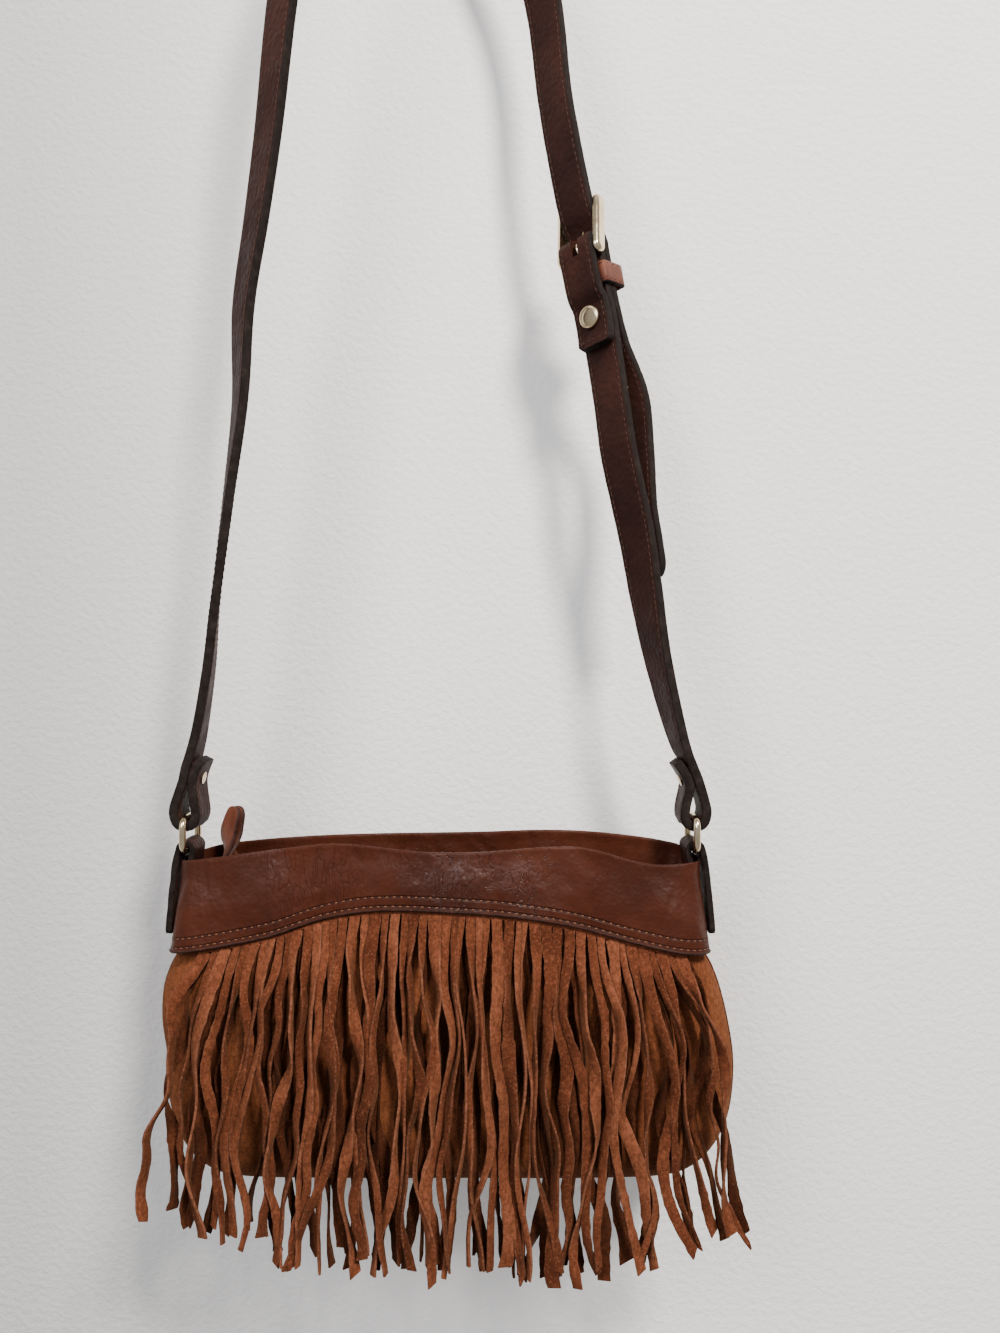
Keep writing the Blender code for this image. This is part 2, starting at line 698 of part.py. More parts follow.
def stadium(length, width, thickness, rounding):
    """A flat plate with round ends, in its own XY plane, length along Y."""
    bm = bmesh.new()
    radius = width / 2
    points = []
    for end in (1, -1):
        for i in range(STADIUM_STEPS + 1):
            angle = math.pi * i / STADIUM_STEPS
            points.append((end * radius * math.cos(angle), end * (length / 2 - radius + radius * math.sin(angle))))
    loop = [bm.verts.new((x, y, -thickness / 2)) for x, y in points]
    bm.faces.new(loop)
    made = bmesh.ops.extrude_face_region(bm, geom=bm.faces[:])
    moved = [item for item in made["geom"] if isinstance(item, bmesh.types.BMVert)]
    bmesh.ops.translate(bm, verts=moved, vec=(0, 0, thickness))
    bmesh.ops.recalc_face_normals(bm, faces=bm.faces[:])
    rim = [edge for edge in bm.edges if abs(edge.verts[0].co.z - edge.verts[1].co.z) < 1e-7]
    bmesh.ops.bevel(bm, geom=rim, offset=rounding, segments=2, affect="EDGES", profile=0.6)
    return bm


def make_buckle(long_strap, short_strap):
    """Two broad side plates joined by the bar in the strap's fold and by the end bar; a prong on the first."""
    half = STRAP_WIDTH / 2 + BUCKLE_SIDE_PLAY + BUCKLE_SIDE_THICK / 2
    middle_up = BUCKLE_LENGTH / 2 - BUCKLE_FOOT
    sides = []
    for sign in (-1, 1):
        bm = stadium(BUCKLE_LENGTH, BUCKLE_SIDE_WIDTH, BUCKLE_SIDE_THICK, BUCKLE_SIDE_THICK * 0.35)
        place = Matrix.Translation((sign * half, 0, middle_up))
        across = Matrix(((0, 0, 1, 0), (1, 0, 0, 0), (0, 1, 0, 0), (0, 0, 0, 1)))
        bm.transform(BUCKLE @ place @ across)
        sides.append(bm)
    frame = add_object("buckle_frame", sides[0], GOLD, 0.2, 1.0)
    boolean(frame, add_cutter("buckle_far_side", sides[1]), "UNION")
    end_bar = BUCKLE_LENGTH - BUCKLE_FOOT - BUCKLE_END_BAR_RADIUS
    for name, up, radius in (("buckle_hinge_bar", 0.0, BUCKLE_BAR_RADIUS), ("buckle_end_bar", end_bar,
                                                                           BUCKLE_END_BAR_RADIUS)):
        lie = BUCKLE @ Matrix.Translation((0, 0, up)) @ Matrix.Rotation(math.pi / 2, 4, "Y")
        boolean(frame, add_cutter(name, cylinder(lie, radius, 2 * half, 14)), "UNION")
    set_origin(frame, BUCKLE_AT)
    make_prong(long_strap, short_strap, end_bar)
    return frame


def make_prong(long_strap, short_strap, end_bar):
    """An eye round the hinge bar and a straight arm through the long strap that rests on the end bar."""
    eye = BUCKLE_BAR_RADIUS + GAP + PRONG_RADIUS
    rest_out = BUCKLE_END_BAR_RADIUS + GAP + PRONG_RADIUS
    points = []
    for i in range(11):
        angle = PRONG_EYE_START - PRONG_EYE_STEP * i
        points.append(on_buckle(0, eye * math.cos(angle), eye * math.sin(angle)))
    tip = on_buckle(0, rest_out, end_bar + BUCKLE_END_BAR_RADIUS * PRONG_REST_SHARE)
    curve = bpy.data.curves.new("buckle_prong", "CURVE")
    curve.dimensions = "3D"
    curve.bevel_depth = PRONG_RADIUS
    curve.bevel_resolution = 2
    curve.use_fill_caps = True
    line = curve.splines.new("POLY")
    route = points + [tip]
    line.points.add(len(route) - 1)
    for spot, point in zip(line.points, route):
        spot.co = (*point, 1)
    curve.materials.append(material("buckle_prong", GOLD, 0.2, 1.0))
    obj = bpy.data.objects.new("buckle_prong", curve)
    PARTS.objects.link(obj)
    arm = tip - points[-1]
    play = PRONG_RADIUS + PRONG_PLAY
    hole("prong_hole", long_strap, points[-1] + arm * 0.5, arm.normalized(), play, arm.length * PRONG_HOLE_SHARE)
    short, _, _ = buckle_layers()
    through = 2 * short + 2 * STRAP_THICK
    slot = box(PLIES @ Matrix.Translation((0, 0, PRONG_SLOT_RISE)), (PRONG_SLOT, through, PRONG_SLOT_LENGTH))
    boolean(short_strap, add_cutter("prong_slot", slot))
    return obj


def make_adjustment_holes(long_strap, path):
    """Through the tail, counted down from the buckle's hinge bar."""
    total = lengths(path)
    at_bar = min(range(len(path)), key=lambda i: (path[i][0] - on_plies(0, buckle_layers()[1], 0)).length)
    for i in range(HOLE_COUNT):
        point, _, normal, _ = station_along(path, total[at_bar] + FIRST_HOLE + HOLE_PITCH * i)
        hole(f"strap_hole_{i + 1}", long_strap, point, normal, HOLE_RADIUS, STRAP_THICK * 3)


def make_keeper():
    """A flat leather loop round the short strap and the tail, a little loose on the tail's side."""
    short, over, _ = buckle_layers()
    middle_out = (short + over + KEEPER_LOOSE) / 2
    inside = (STRAP_WIDTH + 2 * KEEPER_PLAY, over - short + STRAP_THICK + 2 * KEEPER_PLAY + KEEPER_LOOSE)
    outside = (inside[0] + 2 * KEEPER_WALL, inside[1] + 2 * KEEPER_WALL)
    at = PLIES @ Matrix.Translation((0, middle_out, -KEEPER_DROP))
    keeper = add_object("strap_keeper", box(at, (*outside, KEEPER_HEIGHT)), KEEPER_LEATHER, 0.5)
    bevel(keeper, KEEPER_ROUND, 2)
    boolean(keeper, add_cutter("keeper_inside", box(at, (*inside, KEEPER_HEIGHT * 2))))
    return set_origin(keeper, at.translation)


def make_ring(name, top_bar):
    """A rounded rectangle of wire in the plane of the side view; its top bar is in the strap's fold."""
    half_y = RING_INSIDE_WIDTH / 2 + RING_WIRE_RADIUS
    half_z = RING_BARS / 2
    points = []
    for y_sign, z_sign, start in ((1, 1, 0), (-1, 1, 90), (-1, -1, 180), (1, -1, 270)):
        for i in range(5):
            angle = math.radians(start + 22.5 * i)
            points.append((0, y_sign * (half_y - RING_CORNER) + RING_CORNER * math.cos(angle),
                           z_sign * (half_z - RING_CORNER) + RING_CORNER * math.sin(angle) - half_z))
    curve = bpy.data.curves.new(name, "CURVE")
    curve.dimensions = "3D"
    curve.bevel_depth = RING_WIRE_RADIUS
    curve.bevel_resolution = 2
    line = curve.splines.new("POLY")
    line.points.add(len(points) - 1)
    line.use_cyclic_u = True
    for spot, point in zip(line.points, points):
        spot.co = (*point, 1)
    curve.materials.append(material(name, GOLD, 0.2, 1.0))
    obj = bpy.data.objects.new(name, curve)
    PARTS.objects.link(obj)
    obj.location = top_bar
    bpy.context.view_layer.update()
    return obj


def make_side_tab(name, side, pivot):
    """A leather strap folded over the ring's lower bar, one leg outside the yoke and one in the mouth."""
    bar = Vector((BAG_X + side * RING_X, 0, LOW_BAR_Z))
    fold = RING_WIRE_RADIUS + GAP + TAB_THICK / 2
    out = Vector((side, 0, 0))
    down = Vector((0, 0, -1))
    wall = RIM_HALF_WIDTH + TAB_THICK / 2 + 2 * GAP
    outer_top = BAG_X * Vector((1, 0, 0)) + out * wall
    share = (TAB_OUTER_LENGTH - fold) / (YOKE_EDGE_DROP - YOKE_SWEEP * YOKE_EDGE[0][1])
    outer_end = outer_top + out * ((YOKE_EDGE_HALF_WIDTH - RIM_HALF_WIDTH) * share)
    inner_x = RIM_HALF_WIDTH - YOKE_THICK - TAB_CORNER_PLAY - TAB_THICK / 2
    inner = BAG_X * Vector((1, 0, 0)) + out * inner_x
    level = Vector((0, 0, LOW_BAR_Z))
    stations = [
        (outer_end + level + down * TAB_OUTER_LENGTH, out),
        (outer_top.lerp(outer_end, 0.5) + level + down * (TAB_OUTER_LENGTH * 0.60) + out * TAB_OUTER_BEND, out),
        (outer_top + level + down * TAB_BEND_DROP + out * TAB_OUTER_BEND, out),
    ]
    for degrees in (0, 45, 90, 135, 180):
        angle = math.radians(degrees)
        direction = out * math.cos(angle) - down * math.sin(angle)
        stations.append((bar + direction * fold, direction))
    stations += [
        (inner + level + down * TAB_INNER_BEND_DROP, -out),
        (inner + level + down * (TAB_INNER_LENGTH * 0.65) + out * (TAB_INNER_BEND / 2), -out),
        (inner + level + down * TAB_INNER_LENGTH + out * TAB_INNER_BEND, -out),
    ]
    tab = ribbon(name, smooth_path(stations, 2), TAB_WIDTH, TAB_THICK, STRAP_LEATHER, 0.6)
    return set_origin(tab, pivot.matrix_world.translation, pivot)


def resample(points, count):
    """The same line with evenly spaced points."""
    total = [0.0]
    for a, b in zip(points, points[1:]):
        total.append(total[-1] + (b - a).length)
    made = []
    i = 0
    for k in range(count):
        target = total[-1] * k / (count - 1)
        while i < len(points) - 2 and total[i + 1] < target:
            i += 1
        t = (target - total[i]) / max(total[i + 1] - total[i], 1e-12)
        made.append(points[i].lerp(points[i + 1], t))
    return made


def outline_share(x_share, blunt):
    """Depth of the bag's outline as a share of its greatest, from 1 in the middle to 0 at the side seams."""
    return max(0.0, 1 - min(1.0, abs(x_share)) ** blunt) ** (1 / 3 if blunt > 7 else 1 / 3 + (7 - blunt) / 24)


def half_outline(half_width, depth, blunt, side, count):
    """From the left seam over the front (side -1) or the back (side 1) to the right seam, seen from above."""
    dense = []
    for i in range(161):
        x_share = -math.cos(math.pi * i / 160)
        y = max(depth * outline_share(x_share, blunt), SEAM_GAP)
        dense.append(Vector((half_width * x_share, side * y)))
    return resample(dense, count)


def grid_shell(name, rows, thickness, colour, roughness, outside_first):
    """An open surface through rows of points, given thickness towards its inside."""
    bm = bmesh.new()
    made = [[bm.verts.new(point) for point in row] for row in rows]
    for a, b in zip(made, made[1:]):
        for i in range(len(a) - 1):
            corners = (a[i], a[i + 1], b[i + 1], b[i])
            bm.faces.new(corners if outside_first else tuple(reversed(corners)))
    obj = add_object(name, bm, colour, roughness)
    solidify(obj, thickness, -1.0)
    return obj


def trim_at_seam(obj, side):
    """Cuts a front or back piece just short of the bag's middle plane, where the side seams are."""
    reach = 0.5
    middle = Matrix.Translation((BAG_X, -side * (reach / 2 - GAP / 2), BODY_BOTTOM_Z))
    boolean(obj, add_cutter(obj.name + "_seam", box(middle, (reach, reach, reach))))


def yoke_edge(x_share):
    """Height of the yokes' lower edge."""
    return YOKE_EDGE_Z + YOKE_SWEEP * smooth_value(YOKE_EDGE, x_share)


def front_layers():
    """Depth from the front panel's outer face to the front yoke's outer face."""
    return FRINGE_STACK + GAP + YOKE_THICK


def body_form(z):
    """Half width, half depth and bluntness of the suede body at a height, and how far it sags sideways."""
    share = (BODY_TOP_Z - z) / (BODY_TOP_Z - BODY_BOTTOM_Z)
    width, depth, blunt, sag = smooth_row(BODY_FORM, min(1.0, max(0.0, share)))
    return BODY_HALF_WIDTH * width, BODY_HALF_DEPTH * depth, blunt, BODY_SAG * sag


def make_yoke(name, side, rim, rise, extra, pivot):
    """A leather band from the rim down to its stitched lower edge, which laps over the suede."""
    rows = []
    steps = YOKE_ROWS
    columns = [point.x for point in half_outline(1.0, YOKE_DEPTH_SHARE, MOUTH_BLUNT, side, YOKE_COLUMNS)]
    for step in range(steps + 1):
        v = step / steps
        half_width = YOKE_EDGE_HALF_WIDTH + (RIM_HALF_WIDTH - YOKE_EDGE_HALF_WIDTH) * min(1.0, v * YOKE_STEEP)
        row = []
        for x_share in columns:
            low = yoke_edge(x_share)
            high = RIM_Z + rise + YOKE_SWEEP * smooth_value(rim, x_share)
            z = low + (high - low) * v
            seat = body_form(z)[1] + extra
            taper = max(0.0, (v - YOKE_SEAT_SHARE) / (1 - YOKE_SEAT_SHARE))
            depth = seat + (RIM_HALF_DEPTH - seat) * taper * taper * (3 - 2 * taper)
            y = max(depth * outline_share(x_share, MOUTH_BLUNT), SEAM_GAP)
            row.append(Vector((BAG_X + half_width * x_share, side * y, z)))
        rows.append(row)
    yoke = grid_shell(name, rows, YOKE_THICK, YOKE_LEATHER, 0.42, side < 0)
    trim_at_seam(yoke, side)
    return set_origin(yoke, pivot.matrix_world.translation, pivot)


def make_panel(name, side, pivot):
    """A suede panel from its lap under the yoke to the seam round the sides and the bottom."""
    rows = []
    steps = PANEL_ROWS
    for step in range(steps + 1):
        v = 1 - (1 - step / steps) ** PANEL_ROW_SPREAD
        row = []
        for point in half_outline(1.0, PANEL_DEPTH_SHARE, PANEL_BLUNT, side, PANEL_COLUMNS):
            x_share = point.x
            top = yoke_edge(x_share) + YOKE_LAP
            z = top + (BODY_BOTTOM_Z - top) * v
            half_width, depth, blunt, sag = body_form(z)
            y = max(depth * outline_share(x_share, blunt), SEAM_GAP)
            row.append(Vector((BAG_X + sag + half_width * x_share, side * y, z)))
        rows.append(row)
    panel = grid_shell(name, rows, SUEDE_THICK, SUEDE, 0.95, side > 0)
    trim_at_seam(panel, side)
    return set_origin(panel, pivot.matrix_world.translation, pivot)


def make_lining(pivot):
    """A cloth pouch inside the panels, open at the top."""
    inset = SUEDE_THICK + LINING_PLAY
    top = ZIP_Z - 2 * GAP - ZIP_FACING_THICK
    bottom = BODY_BOTTOM_Z + 3 * inset
    steps = LINING_ROWS
    bm = bmesh.new()
    rows = []
    for step in range(steps + 1):
        z = top + (bottom - top) * (1 - (1 - step / steps) ** PANEL_ROW_SPREAD)
        half_width, depth, blunt, sag = body_form(z)
        inner_depth = max(depth - 1.3 * inset, 2 * SEAM_GAP)
        front = half_outline(half_width - 2 * inset, inner_depth, blunt, -1, LINING_COLUMNS)
        back = half_outline(half_width - 2 * inset, inner_depth, blunt, 1, LINING_COLUMNS)
        around = front + list(reversed(back))
        rows.append([bm.verts.new((BAG_X + sag + p.x, p.y, z)) for p in around])
    count = len(rows[0])
    for a, b in zip(rows, rows[1:]):
        for i in range(count):
            k = (i + 1) % count
            bm.faces.new((a[k], a[i], b[i], b[k]))
    last = rows[-1]
    for i in range(count // 2 - 1):
        bm.faces.new((last[i + 1], last[i], last[count - 1 - i], last[count - 2 - i]))
    bmesh.ops.recalc_face_normals(bm, faces=bm.faces[:])
    obj = add_object("lining", bm, CLOTH, 0.9)
    solidify(obj, LINING_THICK, -1.0)
    return set_origin(obj, pivot.matrix_world.translation, pivot)


def front_face(x, z):
    """Distance of the front panel's outer face from the bag's middle plane, x from the bag's centre."""
    half_width, depth, blunt, sag = body_form(z)
    return max(depth * outline_share((x - sag) / half_width, blunt), SEAM_GAP)


def strand_route(chance, x_top, cut_z, tip_z, level, rise, steps, width):
    """Stations of one strand below its cut: centre, twist about the vertical and width.

    It hangs clear of the belly at its own depth level, leans and waves a little, and turns about its length.
    """
    lean = FRINGE_SPREAD * (x_top - FRINGE_SHIFT) / FRINGE_HALF_SPAN + chance.uniform(-STRAND_LEAN, STRAND_LEAN)
    wave = chance.uniform(*STRAND_WAVE)
    phase = chance.uniform(0, 2 * math.pi)
    turns = chance.uniform(*STRAND_TURNS)
    twist = math.radians(chance.uniform(-STRAND_TWIST, STRAND_TWIST))
    edge = (x_top - FRINGE_SHIFT) / FRINGE_HALF_SPAN
    fan = math.copysign(FRINGE_FAN * max(0.0, abs(edge) - FRINGE_FAN_FROM) / (1 - FRINGE_FAN_FROM), edge)
    stations = []
    reach = 0.0
    for step in range(1, steps + 1):
        t = step / steps
        z = cut_z + (tip_z - cut_z) * t
        x = x_top + lean * t**FRINGE_LEAN_CURVE + wave * math.sin(phase + turns * 2 * math.pi * t) * min(1.0, 2 * t)
        x += fan * math.sin(math.pi / 2 * min(1.0, FRINGE_FAN_RISE * t)) * (1 - FRINGE_FAN_FALL * t)
        within = FRINGE_SHIFT + min(FRINGE_HALF_SPAN, max(-FRINGE_HALF_SPAN, x - FRINGE_SHIFT))
        reach = max(reach, front_face(within, z))
        eased = min(1.0, rise * t)
        y = -(reach + level * eased)
        turn = twist * math.sin(math.pi * min(1.0, 1.3 * t))
        taper = 1.0 if step < steps else STRAND_TIP_SHARE
        stations.append((Vector((BAG_X + x, y, z)), turn, width * taper))
    return stations


def make_fringe(name, seed, count, width, steps, depth_in, level, rise, pivot):
    """A suede sheet whose uncut head lies under the yoke, with its lower part cut into strands."""
    chance = random.Random(seed)
    pitch = 2 * FRINGE_HALF_SPAN / count
    bm = bmesh.new()

    def boundary(x):
        edge = yoke_edge(x / YOKE_EDGE_HALF_WIDTH)
        corners = []
        for z in (edge + FRINGE_HEAD, edge - FRINGE_CUT_DROP):
            near = front_face(x, z) + depth_in
            corners += [bm.verts.new((BAG_X + x, -near - STRAND_THICK, z)), bm.verts.new((BAG_X + x, -near, z))]
        return corners

    posts = []
    for i in range(count):
        start = FRINGE_SHIFT - FRINGE_HALF_SPAN + pitch * i + (pitch - width) / 2
        posts += [boundary(start), boundary(start + width)]
    strands = []
    for i, (a, b) in enumerate(zip(posts, posts[1:])):
        bm.faces.new((a[0], b[0], b[2], a[2]))
        bm.faces.new((b[1], a[1], a[3], b[3]))
        bm.faces.new((a[1], b[1], b[0], a[0]))
        bottom = bm.faces.new((a[2], a[3], b[3], b[2]))
        if i % 2 == 0:
            strands.append(bottom)
    for post in (posts[0], posts[-1]):
        bm.faces.new((post[0], post[2], post[3], post[1]))
    for i, face in enumerate(strands):
        corners = [vert.co.copy() for vert in face.verts]
        x_top = sum(corner.x for corner in corners) / 4 - BAG_X
        cut_z = sum(corner.z for corner in corners) / 4
        share = (x_top - FRINGE_SHIFT) / FRINGE_HALF_SPAN
        tip_z = RIM_Z - FRINGE_TIPS_DROP + FRINGE_TIPS_SWEEP * smooth_value(FRINGE_TIPS, share)
        tip_z += chance.uniform(*TIP_SCATTER)
        depth = level + (STRAND_LEVEL if i % 2 else 0)
        route = strand_route(chance, x_top, cut_z, tip_z, depth, rise, steps, width)
        for centre, turn, wide in route:
            face = bmesh.ops.extrude_discrete_faces(bm, faces=[face])["faces"][0]
            across = Vector((math.cos(turn), math.sin(turn), 0)) * (wide / 2)
            thick = Vector((-math.sin(turn), math.cos(turn), 0)) * (STRAND_THICK / 2)
            for vert, place in zip(face.verts, (-across - thick, -across + thick, across + thick, across - thick)):
                vert.co = centre + place
    bmesh.ops.recalc_face_normals(bm, faces=bm.faces[:])
    obj = add_object(name, bm, SUEDE, 0.95)
    return set_origin(obj, pivot.matrix_world.translation, pivot)


def zip_route(side):
    """Middle line of one zip tape, with the direction out of its upper face: flat and closed on the left, standing
    up along the wall where it is open, and rising out of the mouth at the left end."""
    inner = ZIP_TEETH_HALF
    half = ZIP_TAPE_WIDTH / 2
    seat = inner + ZIP_TAPE_WIDTH
    up = Vector((0, 0, 1))
    left = BAG_X - ZIP_HALF_LENGTH + 0.004
    y = side * (inner + half)
    stations = [
        (Vector((left - 0.0060, y, ZIP_Z + ZIP_TAIL_RISE)), Vector((1, 0, 0.1))),
        (Vector((left - 0.0058, y, ZIP_Z + 0.0130)), Vector((1, 0, 0.2))),
        (Vector((left - 0.0015, y, ZIP_Z + 0.0045)), Vector((0.7, 0, 0.7))),
        (Vector((left + 0.0070, y, ZIP_Z + 0.0005)), up),
        (Vector((left + 0.0180, y, ZIP_Z)), up),
        (Vector((BAG_X + ZIP_OPEN_FROM - 0.0200, y, ZIP_Z)), up),
        (Vector((BAG_X + ZIP_OPEN_FROM, y, ZIP_Z)), up),
        (Vector((BAG_X + ZIP_OPEN_FROM + SLIDER_LENGTH, y, ZIP_Z)), up),
    ]
    for share in (0.25, 0.5, 0.75, 1.0):
        angle = ZIP_LEAN * share
        x = BAG_X + ZIP_OPEN_FROM + SLIDER_LENGTH + ZIP_OPENED_LENGTH * share
        direction = Vector((0, -side * math.sin(angle), math.cos(angle)))
        across = Vector((0, -side * math.cos(angle), math.sin(angle)))
        stations.append((Vector((x, side * seat, ZIP_Z)) + across * half, direction))
    across = Vector((0, -side * math.cos(ZIP_LEAN), math.sin(ZIP_LEAN)))
    end = Vector((BAG_X + ZIP_HALF_LENGTH, side * seat, ZIP_Z)) + across * half
    stations.append((end, stations[-1][1]))
    return stations


def make_zip(pivot):
    """Facings along the walls, tapes between them and the folded leather end."""
    made = []
    for name, side in (("front", -1), ("back", 1)):
        tape = ribbon("zip_tape_" + name, smooth_path(zip_route(side), 2), ZIP_TAPE_WIDTH, ZIP_TAPE_THICK, CLOTH, 0.9)
        seat = ZIP_TEETH_HALF + ZIP_TAPE_WIDTH + GAP
        wall = body_form(ZIP_Z)[1] - SUEDE_THICK - GAP
        middle = side * (seat + wall) / 2
        reach = ZIP_HALF_LENGTH * FACING_SHARE
        route = [(Vector((BAG_X + x, middle, ZIP_Z)), Vector((0, 0, 1))) for x in (-reach, 0, reach)]
        facing = ribbon("zip_facing_" + name, route, wall - seat, ZIP_FACING_THICK, KEEPER_LEATHER, 0.6)
        made += [tape, facing]
    x = BAG_X - ZIP_HALF_LENGTH - END_TAB_BESIDE
    base = ZIP_Z + ZIP_TAIL_RISE - END_TAB_LAP
    route = []
    for rise, shift, turn in END_TAB_ROUTE:
        facing_out = turn_direction(math.radians(turn), 1)
        route.append((Vector((x + shift * END_TAB_LENGTH, 0, base + rise * END_TAB_LENGTH)), facing_out))
    path = refine_end(smooth_path(route, 3), END_TAB_TIP_WIDTH * 0.5, 4)
    tab = ribbon("zip_end_tab", path, END_TAB_WIDTH, END_TAB_THICK, KEEPER_LEATHER, 0.5,
                 round_end=END_TAB_TIP_WIDTH * 0.5, tip_width=END_TAB_TIP_WIDTH)
    slot_top = ZIP_Z + ZIP_TAIL_RISE + 2 * GAP
    reach = 2 * END_TAB_LENGTH
    slot = box(Matrix.Translation((x, 0, slot_top - reach / 2)), (ZIP_TAPE_THICK + 4 * GAP, reach, reach))
    boolean(tab, add_cutter("end_tab_slot", slot))
    made.append(tab)
    for obj in made:
        set_origin(obj, pivot.matrix_world.translation, pivot)


def make_slider(pivot):
    """Two plates over and under the teeth joined by a post, a bridge on top, and a puller on the bridge."""
    centre = Vector((BAG_X + ZIP_OPEN_FROM, 0, ZIP_Z))
    plate_z = (SLIDER_THROAT + SLIDER_PLATE) / 2
    size = (SLIDER_LENGTH, SLIDER_WIDTH, SLIDER_PLATE)
    slider = add_object("zip_slider", box(Matrix.Translation(centre + Vector((0, 0, plate_z))), size), GOLD, 0.25, 1.0)
    bevel(slider, SLIDER_PLATE * 0.3)
    under = box(Matrix.Translation(centre - Vector((0, 0, plate_z))), size)
    post = box(Matrix.Translation(centre), (SLIDER_LENGTH * 0.4, SLIDER_POST, SLIDER_THROAT + SLIDER_PLATE))
    top = SLIDER_THROAT / 2 + SLIDER_PLATE
    bridge_at = centre + Vector((0, 0, top + BRIDGE_HEIGHT / 2 - SLIDER_PLATE / 4))
    bridge = box(Matrix.Translation(bridge_at), (BRIDGE_LENGTH, BRIDGE_THICK, BRIDGE_HEIGHT + SLIDER_PLATE / 2))
    for name, bm in (("slider_under", under), ("slider_post", post), ("slider_bridge", bridge)):
        boolean(slider, add_cutter(name, bm), "UNION")
    axis = centre + Vector((0, 0, top + BRIDGE_HEIGHT * 0.42))
    window = box(Matrix.Translation(axis), (BRIDGE_WINDOW, BRIDGE_THICK * 3, BRIDGE_HEIGHT * 0.62))
    boolean(slider, add_cutter("bridge_window", window))
    set_origin(slider, centre, pivot)
    plate = box(Matrix.Translation(axis - Vector((PULLER_LENGTH / 2 - PULLER_THICK / 2, 0, 0))),
                (PULLER_LENGTH, PULLER_WIDTH, PULLER_THICK))
    puller = add_object("zip_puller", plate, GOLD, 0.25, 1.0)
    bevel(puller, PULLER_THICK * 0.25)
    eye_at = Matrix.Translation(axis - Vector(((PULLER_THICK + PULLER_EYE) / 2, 0, 0)))
    eye = box(eye_at, (PULLER_EYE, BRIDGE_THICK + 6 * GAP, PULLER_THICK * 3))
    boolean(puller, add_cutter("puller_eye", eye))
    set_origin(puller, axis, slider)


def main():
    long_strap, short_strap, long_path = make_straps()
    make_strap_rivets(long_strap, short_strap)
    make_stud(short_strap)
    make_buckle(long_strap, short_strap)
    make_adjustment_holes(long_strap, long_path)
    make_keeper()
    ring_left = make_ring("ring_left", LEFT_TOP_BAR)
    make_ring("ring_right", RIGHT_TOP_BAR)
    pivot = add_empty("bag_pivot", LEFT_TOP_BAR - Vector((0, 0, RING_BARS)), ring_left)
    make_side_tab("side_tab_left", -1, pivot)
    make_side_tab("side_tab_right", 1, pivot)
    make_yoke("front_yoke", -1, FRONT_RIM, 0.0, front_layers(), pivot)
    make_yoke("back_yoke", 1, BACK_RIM, BACK_RIM_RISE, YOKE_THICK + GAP, pivot)
    make_panel("front_panel", -1, pivot)
    make_panel("back_panel", 1, pivot)
    make_lining(pivot)
    under_depth = GAP
    front_depth = 2 * GAP + STRAND_THICK
    make_fringe("fringe_under", UNDER_SEED, UNDER_STRANDS, UNDER_STRAND_WIDTH, UNDER_STRAND_STEPS, under_depth,
                STRAND_CLEAR, UNDER_RISE, pivot)
    make_fringe("fringe_front", FRONT_SEED, FRONT_STRANDS, FRONT_STRAND_WIDTH, FRONT_STRAND_STEPS, front_depth,
                STRAND_CLEAR + 2 * STRAND_LEVEL, FRONT_RISE, pivot)
    make_zip(pivot)
    make_slider(pivot)


clear_scene()
PARTS = collection("fringed_suede_bag")
CUTTERS = collection("cutters")
PLIES = plies_matrix()
BUCKLE = PLIES @ Matrix.Rotation(-BUCKLE_TILT, 4, "X")
main()
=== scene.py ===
"""Looks of the fringed suede bag: leather, suede, thread, metal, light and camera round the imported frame."""

import math
import random

import bmesh
import bpy
from mathutils import Matrix, Vector, noise


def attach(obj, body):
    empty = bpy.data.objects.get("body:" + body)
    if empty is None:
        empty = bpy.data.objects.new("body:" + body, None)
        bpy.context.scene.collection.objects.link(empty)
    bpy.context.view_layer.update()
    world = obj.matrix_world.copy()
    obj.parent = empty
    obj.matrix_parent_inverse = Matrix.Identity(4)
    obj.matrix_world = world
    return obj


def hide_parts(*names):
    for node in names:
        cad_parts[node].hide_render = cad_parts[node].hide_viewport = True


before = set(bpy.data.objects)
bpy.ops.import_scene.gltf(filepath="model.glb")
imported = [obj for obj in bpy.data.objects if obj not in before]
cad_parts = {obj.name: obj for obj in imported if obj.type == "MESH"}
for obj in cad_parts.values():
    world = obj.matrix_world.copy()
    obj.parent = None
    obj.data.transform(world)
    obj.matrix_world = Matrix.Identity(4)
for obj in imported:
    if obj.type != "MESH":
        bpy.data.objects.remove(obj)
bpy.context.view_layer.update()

# Sizes shared with the frame
GAP = 0.0003
SEAM_GAP = 0.0005
STRAP_WIDTH = 0.020
STRAP_THICK = 0.0045
STRAP_DROP = 0.5505
HANG_RADIUS = 0.036
HANG_TURN = math.radians(50)
HANG_SPREAD = math.radians(69)
BAG_X = 0.018
LOOP_RADIUS = 0.0030
LEFT_SLANT = 0.22
RIGHT_SLANT = 0.40
FOLD_OFFSET = 0.0006
PLY_GAP = 0.0005
RIVET_RISE = 0.0205
FOLD_END_RISE = 0.0300

